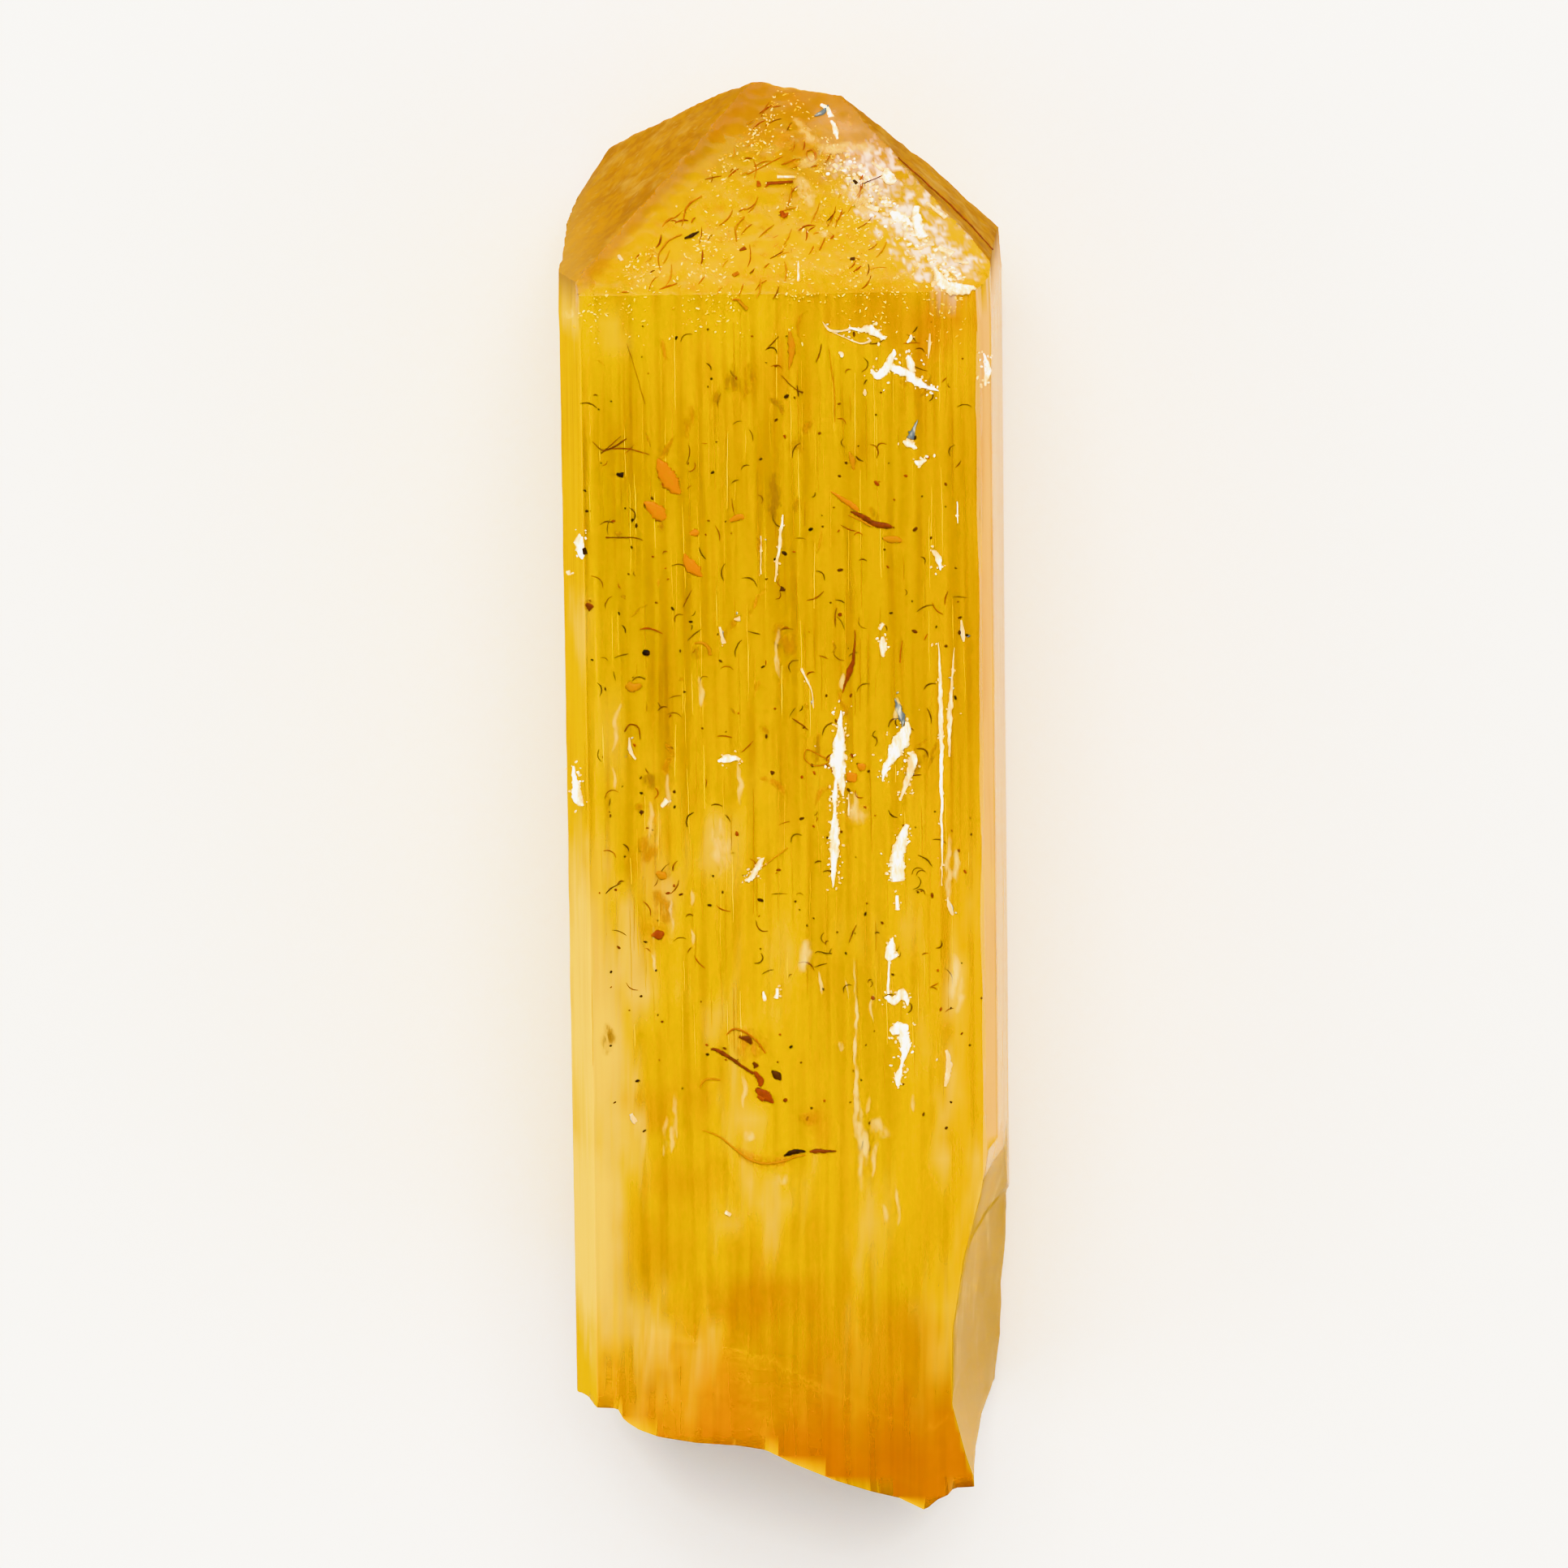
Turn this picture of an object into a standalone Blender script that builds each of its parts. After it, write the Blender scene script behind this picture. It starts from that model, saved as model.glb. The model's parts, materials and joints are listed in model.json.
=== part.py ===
"""Imperial topaz crystal, one solid: a long ten-sided prism with a faceted end and a broken end.

The crystal lies on its back prism face. X runs across it, Y runs along its c axis towards the
faceted end, and Z is up through its front prism face. The origin is the middle of the footprint.
Run it in Blender's text editor or with: blender --background --python part.py
"""
import math

import bmesh
import bpy
import numpy as np
from mathutils import Vector

MM = 0.001

# Overall size of the crystal
LENGTH = 36.0 * MM
WIDTH = 11.3 * MM
DEPTH = 9.8 * MM

APEX_Y = LENGTH / 2
AXIS_Z = DEPTH / 2
PLANE_TOLERANCE = 1e-7

# Topaz is orthorhombic, with a : b : c = 0.528 : 1 : 0.955. A prism face is given by its azimuth
# about the c axis, from +X towards +Z, and by its distance from the axis. The four {120} faces are
# the wide ones, and {110} and {010} only trim the corners between them.
PRISM_FACES = {
    "front_120": (90.0, DEPTH / 2),
    "back_120": (270.0, DEPTH / 2),
    "right_120": (3.1, 5.435 * MM),
    "left_120": (183.1, 5.480 * MM),
    "front_right_010": (46.55, 6.873 * MM),
    "back_left_010": (226.55, 7.015 * MM),
    "front_left_110": (108.7, 6.290 * MM),
    "left_110": (164.4, 6.237 * MM),
    "back_right_110": (288.7, 6.240 * MM),
    "right_110": (344.4, 6.506 * MM),
}

# An end face is given by its azimuth, by its normal's angle from the c axis, and by how far above
# the apex its plane crosses the c axis. The wide ones are the pyramid {123} over the {120} faces.
END_FACES = {
    "front_123": (90.0, 41.2, -0.348 * MM),
    "back_123": (270.0, 41.2, 0.842 * MM),
    "right_123": (3.1, 42.9, 1.086 * MM),
    "left_113": (164.4, 37.5, 0.455 * MM),
    "left_122": (183.1, 58.9, 5.497 * MM),
    "right_112": (344.4, 45.65, 1.785 * MM),
    "back_right_112": (288.7, 45.65, 0.146 * MM),
}

# The broken end follows this line along the front edge: a cleavage shelf at the left, a long
# shell-like slope down to the tip, and small steps up again. Places are (x, y) in millimetres.
BREAK_EDGE = (
    (-5.70, -15.62), (-5.25, -15.17), (-4.55, -15.20), (-4.38, -15.52), (-4.02, -15.77),
    (-3.51, -15.97), (-2.57, -16.14), (-1.54, -16.22), (-0.80, -16.35), (-0.14, -16.70),
    (0.96, -17.18), (1.85, -17.47), (2.57, -17.65), (3.22, -17.98), (3.53, -17.71),
    (3.82, -17.58), (3.95, -17.40), (4.42, -17.38), (5.70, -17.20),
)
BREAK_RISE = 0.15
SHELF_HEIGHT = 0.36 * MM
RISER_SHARE = 0.45
SHELL_RIPPLE = 0.06 * MM
SHELL_PITCH = 2.1 * MM
BREAK_CELLS = (64, 32)

# A long spall has left the right-hand edge near the broken end. Its hollow starts on the front face
# along the inner line and comes out at the back along the outer line, both (y, x) in millimetres.
SPALL_INNER = (
    (-18.80, 4.60), (-17.10, 4.45), (-16.55, 4.27), (-15.20, 3.93), (-13.30, 3.95),
    (-11.40, 4.25), (-9.70, 4.70), (-8.60, 4.90), (-8.20, 5.30), (-7.90, 5.70),
)
SPALL_OUTER = (
    (-18.80, 4.60), (-18.00, 4.56), (-17.50, 4.80), (-16.80, 5.20), (-15.70, 5.32),
    (-14.20, 5.36), (-13.30, 5.50), (-11.75, 5.50), (-11.40, 5.74), (-9.60, 6.25), (-7.90, 6.60),
)
SPALL_HOLLOW = 1.5
SPALL_REACH = 0.85 * DEPTH
SPALL_CELLS = (44, 12)

TOPAZ_COLOUR = (0.78, 0.44, 0.02, 1.0)
TOPAZ_ROUGHNESS = 0.12
TOPAZ_IOR = 1.62


def clear_scene():
    for old in list(bpy.data.objects):
        bpy.data.objects.remove(old, do_unlink=True)


def make_collection(name):
    group = bpy.data.collections.new(name)
    bpy.context.scene.collection.children.link(group)
    return group


def direction(azimuth, polar):
    """Unit vector at a polar angle from the c axis and an azimuth about it, both in degrees."""
    around = math.radians(azimuth)
    away = math.radians(polar)
    return Vector((math.sin(away) * math.cos(around), math.cos(away), math.sin(away) * math.sin(around)))


def follow(line, place):
    """Read a line of (place, value) points in millimetres at a place in metres."""
    places, values = zip(*line)
    return float(np.interp(place / MM, places, values)) * MM


def cut_off(bm, point, normal):
    """Cut away what lies beyond a plane, and close the cut with one face."""
    everything = bm.verts[:] + bm.edges[:] + bm.faces[:]
    cut = bmesh.ops.bisect_plane(
        bm, geom=everything, plane_co=point, plane_no=normal, clear_outer=True, dist=PLANE_TOLERANCE
    )
    rim = [item for item in cut["geom_cut"] if isinstance(item, bmesh.types.BMEdge)]
    if rim:
        bmesh.ops.edgeloop_fill(bm, edges=rim)


def grown_crystal(group):
    """The crystal as it grew: a block cut down by the planes of its crystal faces."""
    bm = bmesh.new()
    bmesh.ops.create_cube(bm, size=1.0)
    bmesh.ops.scale(bm, vec=(2 * WIDTH, 2 * LENGTH, 2 * DEPTH), verts=bm.verts)
    bmesh.ops.translate(bm, vec=(0, 0, AXIS_Z), verts=bm.verts)
    axis_point = Vector((0, 0, AXIS_Z))
    for azimuth, distance in PRISM_FACES.values():
        normal = direction(azimuth, 90.0)
        cut_off(bm, axis_point + normal * distance, normal)
    for azimuth, polar, above in END_FACES.values():
        cut_off(bm, Vector((0, APEX_Y + above, AXIS_Z)), direction(azimuth, polar))
    bmesh.ops.recalc_face_normals(bm, faces=bm.faces)
    mesh = bpy.data.meshes.new("topaz_crystal")
    bm.to_mesh(mesh)
    bm.free()
    crystal = bpy.data.objects.new("topaz_crystal", mesh)
    group.objects.link(crystal)
    return crystal


def break_height(x, z):
    """Height of the broken end: terraces along the basal cleavage, with faint shell ripples."""
    inward = DEPTH - z
    terrace = BREAK_RISE * inward * (0.5 - x / WIDTH) / SHELF_HEIGHT
    whole = math.floor(terrace)
    riser = max(0.0, terrace - whole - 1.0 + RISER_SHARE) / RISER_SHARE
    ripple = SHELL_RIPPLE * math.sin(2 * math.pi * math.hypot(x - WIDTH / 2, inward) / SHELL_PITCH)
    return follow(BREAK_EDGE, x) + SHELF_HEIGHT * (whole + riser) + ripple * inward / DEPTH


def break_surface(u, v):
    x = (u - 0.5) * 1.3 * WIDTH
    z = (v - 0.1) * 1.2 * DEPTH
    return Vector((x, break_height(x, min(z, DEPTH)), z))


def spall_surface(u, v):
    first = SPALL_INNER[0][0] * MM
    last = SPALL_INNER[-1][0] * MM
    y = first + (last - first) * u
    z = (v - 0.1) * 1.2 * DEPTH
    inner = follow(SPALL_INNER, y)
    outer = follow(SPALL_OUTER, y)
    sunk = min(1.0, max(0.0, DEPTH - z) / SPALL_REACH)
    return Vector((inner + (outer - inner) * sunk ** SPALL_HOLLOW, y, z))


def make_cutter(name, group, surface, cells, far_side):
    """A solid with one shaped side, which runs back to a flat side: far_side is (axis, place)."""
    bm = bmesh.new()
    bmesh.ops.create_grid(bm, x_segments=cells[0], y_segments=cells[1], size=0.5)
    for vert in bm.verts:
        vert.co = surface(vert.co.x + 0.5, vert.co.y + 0.5)
    swept = bmesh.ops.extrude_face_region(bm, geom=bm.faces[:])
    axis, place = far_side
    for item in swept["geom"]:
        if isinstance(item, bmesh.types.BMVert):
            item.co[axis] = place
    bmesh.ops.recalc_face_normals(bm, faces=bm.faces)
    mesh = bpy.data.meshes.new(name)
    bm.to_mesh(mesh)
    bm.free()
    cutter = bpy.data.objects.new(name, mesh)
    cutter.hide_render = True
    cutter.display_type = "WIRE"
    group.objects.link(cutter)
    return cutter


def subtract(target, cutter):
    cut = target.modifiers.new(cutter.name, "BOOLEAN")
    cut.operation = "DIFFERENCE"
    cut.solver = "EXACT"
    cut.object = cutter


def topaz_material():
    material = bpy.data.materials.new("golden_topaz")
    material.use_nodes = True
    shader = material.node_tree.nodes["Principled BSDF"]
    shader.inputs["Base Color"].default_value = TOPAZ_COLOUR
    shader.inputs["Roughness"].default_value = TOPAZ_ROUGHNESS
    shader.inputs["Metallic"].default_value = 0.0
    shader.inputs["IOR"].default_value = TOPAZ_IOR
    return material


def main():
    clear_scene()
    parts = make_collection("imperial_topaz_crystal")
    cutters = make_collection("cutters")
    crystal = grown_crystal(parts)
    crystal.data.materials.append(topaz_material())
    subtract(crystal, make_cutter("break_cutter", cutters, break_surface, BREAK_CELLS, (1, -LENGTH)))
    subtract(crystal, make_cutter("spall_cutter", cutters, spall_surface, SPALL_CELLS, (0, WIDTH)))


main()
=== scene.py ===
import json
import math
import random

import bmesh
import bpy
import numpy as np
from mathutils import Matrix, Vector, noise

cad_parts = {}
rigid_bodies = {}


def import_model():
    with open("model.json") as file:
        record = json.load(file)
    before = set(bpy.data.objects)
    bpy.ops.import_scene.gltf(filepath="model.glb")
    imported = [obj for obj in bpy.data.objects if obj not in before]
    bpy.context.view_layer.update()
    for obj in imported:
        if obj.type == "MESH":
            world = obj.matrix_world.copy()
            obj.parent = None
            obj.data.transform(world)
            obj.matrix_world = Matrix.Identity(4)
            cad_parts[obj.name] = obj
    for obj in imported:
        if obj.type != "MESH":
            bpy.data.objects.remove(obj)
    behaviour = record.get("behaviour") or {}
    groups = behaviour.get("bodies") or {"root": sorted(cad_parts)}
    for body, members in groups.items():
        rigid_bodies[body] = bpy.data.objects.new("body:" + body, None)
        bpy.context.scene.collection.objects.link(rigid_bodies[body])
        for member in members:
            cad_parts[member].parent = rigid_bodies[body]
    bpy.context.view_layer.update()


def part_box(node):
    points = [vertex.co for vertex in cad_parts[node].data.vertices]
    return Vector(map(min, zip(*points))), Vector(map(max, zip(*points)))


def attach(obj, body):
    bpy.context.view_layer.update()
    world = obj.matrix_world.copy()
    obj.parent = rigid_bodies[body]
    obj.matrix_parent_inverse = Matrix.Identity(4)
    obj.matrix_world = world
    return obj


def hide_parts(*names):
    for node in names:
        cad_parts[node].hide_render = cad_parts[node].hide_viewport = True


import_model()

mm = 0.001  # the sizes below are in millimetres, on the frame's own axes
low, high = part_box("topaz_crystal")
width = (high.x - low.x) / mm
depth = (high.z - low.z) / mm
apexY = high.y / mm
axisZ = depth / 2


# a socket that works in sums: a + b adds a Math node to its own tree
class Term:
    def __init__(self, tree, socket):
        self.tree = tree
        self.socket = socket

    def maths(self, operation, other=0.0, swapped=False):
        pair = (other, self) if swapped else (self, other)
        return self.tree.add("ShaderNodeMath", {"operation": operation}, {0: pair[0], 1: pair[1]})

    def __add__(self, other):
        return self.maths("ADD", other)

    def __sub__(self, other):
        return self.maths("SUBTRACT", other)

    def __mul__(self, other):
        return self.maths("MULTIPLY", other)

    def __truediv__(self, other):
        return self.maths("DIVIDE", other)

    def __pow__(self, other):
        return self.maths("POWER", other)

    def __rsub__(self, other):
        return self.maths("SUBTRACT", other, swapped=True)

    __radd__ = __add__
    __rmul__ = __mul__

    # 0 below start, 1 above end, eased between them
    def rise(self, start, end):
        limits = {"Value": self, "From Min": start, "From Max": end}
        return self.tree.add("ShaderNodeMapRange", {"interpolation_type": "SMOOTHSTEP"}, limits)

    def clamped(self):
        return self.maths("MINIMUM", 1.0).maths("MAXIMUM", 0.0)

    def most(self, other):
        return self.maths("MAXIMUM", other)

    def out(self, name):
        return Term(self.tree, self.socket.node.outputs[name])


# a shader or geometry tree; every node but the sums comes from add
class Tree:
    def __init__(self, nodeTree):
        self.nodes = nodeTree.nodes
        self.links = nodeTree.links

    def add(self, kind, settings=None, inputs=None, output=0):
        node = self.nodes.new(kind)
        for name, value in (settings or {}).items():
            if name == "stops":
                self.setStops(node.color_ramp, value)
            else:
                setattr(node, name, value)
        for key, value in (inputs or {}).items():
            self.feed(node.inputs[key], value)
        return Term(self, node.outputs[output] if len(node.outputs) else None)

    def setStops(self, ramp, stops):
        while len(ramp.elements) < len(stops):
            ramp.elements.new(1.0)
        for element, (place, colour) in zip(ramp.elements, stops):
            element.position = place
            element.color = (*colour, 1.0)

    def feed(self, socket, value):
        if isinstance(value, (list, tuple)) and any(isinstance(part, Term) for part in value):
            value = self.add("ShaderNodeCombineXYZ", None, dict(enumerate(value)))
        if isinstance(value, Term):
            self.links.new(value.socket, socket)
        elif value is not None:
            socket.default_value = value

    def split(self, vector):
        node = self.add("ShaderNodeSeparateXYZ", None, {0: vector})
        return node.out("X"), node.out("Y"), node.out("Z")

    def noise(self, vector, scale, detail=2.0, roughness=0.5):
        sizes = {"Vector": vector, "Scale": scale, "Detail": detail, "Roughness": roughness}
        return self.add("ShaderNodeTexNoise", None, sizes)

    def cells(self, vector, scale):
        return self.add("ShaderNodeTexVoronoi", None, {"Vector": vector, "Scale": scale})

    def blend(self, factor, first, second, kind="MIX"):
        settings = {"data_type": "RGBA", "blend_type": kind}
        return self.add("ShaderNodeMix", settings, {0: factor, 6: first, 7: second}, output=2)

    def vector(self, operation, first, second=None, output=0):
        inputs = {0: first, ("Scale" if operation == "SCALE" else 1): second}
        return self.add("ShaderNodeVectorMath", {"operation": operation}, inputs, output)

    # a value kept on the mesh: written by a geometry tree, read by either kind
    def store(self, geometry, name, value, kind="FLOAT"):
        inputs = {"Geometry": geometry, "Name": name, "Value": value}
        return self.add("GeometryNodeStoreNamedAttribute", {"data_type": kind}, inputs)

    def kept(self, name, kind="FLOAT"):
        return self.add("GeometryNodeInputNamedAttribute", {"data_type": kind}, {"Name": name})

    # where a point of the mesh is, in millimetres
    def meshPlace(self):
        return self.vector("SCALE", self.add("GeometryNodeInputPosition"), 1.0 / mm)

    def painted(self, name, output="Fac"):
        return self.add("ShaderNodeAttribute", {"attribute_name": name}, None, output)


def newMaterial(name):
    material = bpy.data.materials.new(name)
    material.use_nodes = True
    material.node_tree.nodes.clear()
    return material, Tree(material.node_tree)


# the object's own coordinates, in millimetres
def placeInMm(tree):
    return tree.vector("SCALE", tree.add("ShaderNodeTexCoord", None, None, "Object"), 1.0 / mm)


def newObject(name, mesh):
    item = bpy.data.objects.new(name, mesh)
    bpy.context.scene.collection.objects.link(item)
    return item


# a geometry tree with a named input for each value of a piece's look
def newGeometryTree(name, look):
    group = bpy.data.node_groups.new(name, "GeometryNodeTree")
    group.interface.new_socket("Geometry", in_out="INPUT", socket_type="NodeSocketGeometry")
    group.interface.new_socket("Geometry", in_out="OUTPUT", socket_type="NodeSocketGeometry")
    for label, value in look.items():
        kind = "NodeSocketInt" if isinstance(value, int) else "NodeSocketFloat"
        group.interface.new_socket(label, in_out="INPUT", socket_type=kind).default_value = value
    tree = Tree(group)
    given = tree.add("NodeGroupInput")
    return group, tree, given


def finishTree(tree, geometry, material):
    solid = tree.add("GeometryNodeRealizeInstances", None, {"Geometry": geometry})
    coated = tree.add("GeometryNodeSetMaterial", None, {"Geometry": solid, "Material": material})
    tree.add("NodeGroupOutput", None, {"Geometry": coated})


def addTree(item, group, values):
    modifier = item.modifiers.new(group.name, "NODES")
    modifier.node_group = group
    for entry in group.interface.items_tree:
        if entry.item_type == "SOCKET" and entry.in_out == "INPUT" and entry.name in values:
            modifier[entry.identifier] = values[entry.name]


# replace an object's live modifiers by the plain mesh they make
def settle(item):
    bpy.context.view_layer.update()
    made = bpy.data.meshes.new_from_object(item.evaluated_get(bpy.context.evaluated_depsgraph_get()))
    item.modifiers.clear()
    item.data = made


def ease(value, start, end):
    share = min(1.0, max(0.0, (value - start) / (end - start)))
    return share * share * (3.0 - 2.0 * share)


def direction(azimuth, polar):
    around, away = math.radians(azimuth), math.radians(polar)
    return Vector((math.sin(away) * math.cos(around), math.cos(away), math.sin(away) * math.sin(around)))


def follow(line, place):
    places, values = zip(*line)
    return float(np.interp(place, places, values))


# the glass of the crystal: what varies over it is kept on the mesh by the skin tree below
topaz = {
    "ior": 1.62,
    "absorbed": (0.003, 0.027, 0.30),  # per millimetre of red, green and blue
    "lineScale": 9.0,  # growth lines per millimetre
    "lineLength": 0.04,
    "lineHeight": 0.010 * mm,
    "lineStrength": 0.30,
    "frostRoughness": 0.5,
}


def topazMaterial(look):
    material, tree = newMaterial("goldenTopaz")
    x, y, z = tree.split(placeInMm(tree))
    tint = tree.painted("tint", "Color")
    milkTint = tree.painted("milkTint", "Color")
    milk = tree.painted("milk")
    gloss = tree.painted("gloss")
    lines = tree.noise((x, y * look["lineLength"], z), look["lineScale"], 1.0, 0.6)
    bump = tree.add(
        "ShaderNodeBump", None,
        {"Strength": look["lineStrength"], "Distance": look["lineHeight"], "Height": lines},
    )
    shell = {"Base Color": tint, "Roughness": gloss, "Normal": bump}
    shell = {**shell, "IOR": look["ior"], "Transmission Weight": 1.0}
    glass = tree.add("ShaderNodeBsdfPrincipled", None, shell)
    frost = {"Base Color": milkTint, "Roughness": look["frostRoughness"], "Specular IOR Level": 0.0}
    frosted = tree.add("ShaderNodeBsdfPrincipled", None, frost)
    mixed = tree.add("ShaderNodeMixShader", None, {0: milk, 1: glass, 2: frosted})
    strength = max(look["absorbed"])
    colour = tuple(1.0 - share / strength for share in look["absorbed"])
    body = {"Color": (*colour, 1.0), "Density": strength / mm}
    absorbed = tree.add("ShaderNodeVolumeAbsorption", None, body)
    tree.add("ShaderNodeOutputMaterial", None, {"Surface": mixed, "Volume": absorbed})
    return material


goldenTopaz = topazMaterial(topaz)

# the crystal's own shape
# prism faces are (azimuth about Y from +X towards +Z, distance from the axis), and end faces are
# (azimuth, angle from Y, height above the apex where they cross the axis)
crystal = {
    "prismFaces": (
        (90.0, depth / 2), (270.0, depth / 2), (3.1, 5.435), (183.1, 5.480), (46.55, 6.873),
        (226.55, 7.015), (108.7, 6.290), (164.4, 6.237), (288.7, 6.240), (344.4, 6.506),
    ),
    "endFaces": (
        (90.0, 41.2, -0.348), (270.0, 41.2, 0.842), (3.1, 42.9, 1.086), (164.4, 37.5, 0.455),
        (183.1, 58.9, 5.497), (344.4, 45.65, 1.785), (288.7, 45.65, 0.146),
    ),
    "endNames": ("front", "back", "right", "left", "lowLeft", "farRight", "backRight"),
    "sliceAcross": 0.055,
    "sliceUp": 0.075,
    "sliceAlong": 0.55,
    "endStart": 13.2,  # the end faces begin here, and are sliced finely both ways
    "ridgeAngle": 12.0,
    "smoothAngle": 24.0,
    "footY": -1.1 * apexY,  # where the uncut prism ends, below the break
}

relief = {
    "Line Depth": 0.022 * mm,
    "Step Depth": 0.045 * mm,
    "Pit Depth": 0.045 * mm,
    "Hill Depth": 0.16 * mm,
    "Edge Wear": 0.16 * mm,
    "Edge Softness": 5,
    "Axis End": 11.0,
    "Seed": 4.0,
}

# how the relief is patterned: scales are per millimetre, and slower where stretched along the prism
pattern = {
    "lines": 3.6, "linesAlong": 0.03, "swell": 0.8, "swellAlong": 0.018, "steps": 14.0,
    "shoulder": (10.8, 13.2), "calmer": 0.75, "broadPits": 1.9, "finePits": 4.6, "pitEdge": (0.05, 0.75),
    "hills": 0.75, "nicks": 1.1,
}

# the broken end's line along the front edge, as (x, y), then its terraces and ripples
breakage = {
    "edge": (
        (-5.70, -15.62), (-5.25, -15.17), (-4.55, -15.20), (-4.38, -15.52), (-4.02, -15.77),
        (-3.51, -15.97), (-2.57, -16.14), (-1.54, -16.22), (-0.80, -16.35), (-0.14, -16.70),
        (0.96, -17.18), (1.85, -17.47), (2.57, -17.65), (3.22, -17.98), (3.53, -17.71),
        (3.82, -17.58), (3.95, -17.40), (4.42, -17.38), (5.70, -17.20),
    ),
    "rise": 0.15,  # how far it climbs per millimetre inwards, at the left
    "wobble": 0.16,
    "shelf": 0.36,
    "step": 0.02,
    "ripple": 0.015,
    "pitch": 2.1,
    "cells": (120, 96),
}

# the spall along the right-hand edge: lines of (y, x) on the front face and at the back
spalling = {
    "inner": (
        (-18.80, 4.60), (-17.10, 4.45), (-16.55, 4.27), (-15.20, 3.93), (-13.30, 3.95),
        (-11.40, 4.25), (-9.70, 4.70), (-8.60, 4.90), (-8.20, 5.30), (-7.90, 5.70),
    ),
    "outer": (
        (-18.80, 4.60), (-18.00, 4.56), (-17.50, 4.80), (-16.80, 5.20), (-15.70, 5.32),
        (-14.20, 5.36), (-13.30, 5.50), (-11.75, 5.50), (-11.40, 5.74), (-9.60, 6.25),
        (-7.90, 6.60),
    ),
    "hollow": 1.5,
    "reach": 0.85,
    "ripple": 0.018,
    "cells": (120, 44),
}


def allOf(bm):
    return bm.verts[:] + bm.edges[:] + bm.faces[:]


def cutOff(bm, point, normal):
    cut = bmesh.ops.bisect_plane(
        bm, geom=allOf(bm), plane_co=point * mm, plane_no=normal, clear_outer=True, dist=1e-8
    )
    rim = [item for item in cut["geom_cut"] if isinstance(item, bmesh.types.BMEdge)]
    if rim:
        bmesh.ops.edgeloop_fill(bm, edges=rim)


# score the faces along parallel planes, halving the stretch each time, so that they can carry relief
def score(bm, faces, axis, places):
    if not places:
        return
    middle = len(places) // 2
    edges = dict.fromkeys(edge for face in faces for edge in face.edges)
    verts = dict.fromkeys(vert for face in faces for vert in face.verts)
    normal = Vector((0.0, 0.0, 0.0))
    normal[axis] = 1.0
    point = normal * places[middle] * mm
    geometry = [*faces, *edges, *verts]
    cut = bmesh.ops.bisect_plane(bm, geom=geometry, plane_co=point, plane_no=normal, dist=1e-8)
    halves = ([], [])
    for item in cut["geom"]:
        if isinstance(item, bmesh.types.BMFace):
            halves[item.calc_center_median()[axis] > point[axis]].append(item)
    score(bm, halves[0], axis, places[:middle])
    score(bm, halves[1], axis, places[middle + 1:])


def evenly(start, end, step):
    return [start + number * step for number in range(1, int((end - start) / step) + 1)]


def facetedMesh(shape):
    bm = bmesh.new()
    bmesh.ops.create_cube(bm, size=1.0)
    bmesh.ops.scale(bm, vec=Vector((3 * width, 6 * apexY, 3 * depth)) * mm, verts=bm.verts)
    axisPoint = Vector((0.0, 0.0, axisZ))
    for azimuth, distance in shape["prismFaces"]:
        normal = direction(azimuth, 90.0)
        cutOff(bm, axisPoint + normal * distance, normal)
    for azimuth, polar, above in shape["endFaces"]:
        cutOff(bm, Vector((0.0, apexY + above, axisZ)), direction(azimuth, polar))
    cutOff(bm, Vector((0.0, shape["footY"], 0.0)), Vector((0.0, -1.0, 0.0)))
    score(bm, bm.faces[:], 1, evenly(shape["footY"], shape["endStart"], shape["sliceAlong"]))
    score(bm, bm.faces[:], 0, evenly(-width / 2, width / 2, shape["sliceAcross"]))
    score(bm, bm.faces[:], 2, evenly(0.0, depth, shape["sliceUp"]))
    ridge = bm.verts.layers.float.new("ridge")
    sharp = math.radians(shape["ridgeAngle"])
    for edge in bm.edges:
        if len(edge.link_faces) == 2 and edge.calc_face_angle() > sharp:
            for vert in edge.verts:
                vert[ridge] = 1.0
    bmesh.ops.recalc_face_normals(bm, faces=bm.faces)
    mesh = bpy.data.meshes.new("crystalBody")
    bm.to_mesh(mesh)
    bm.free()
    return mesh


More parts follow.
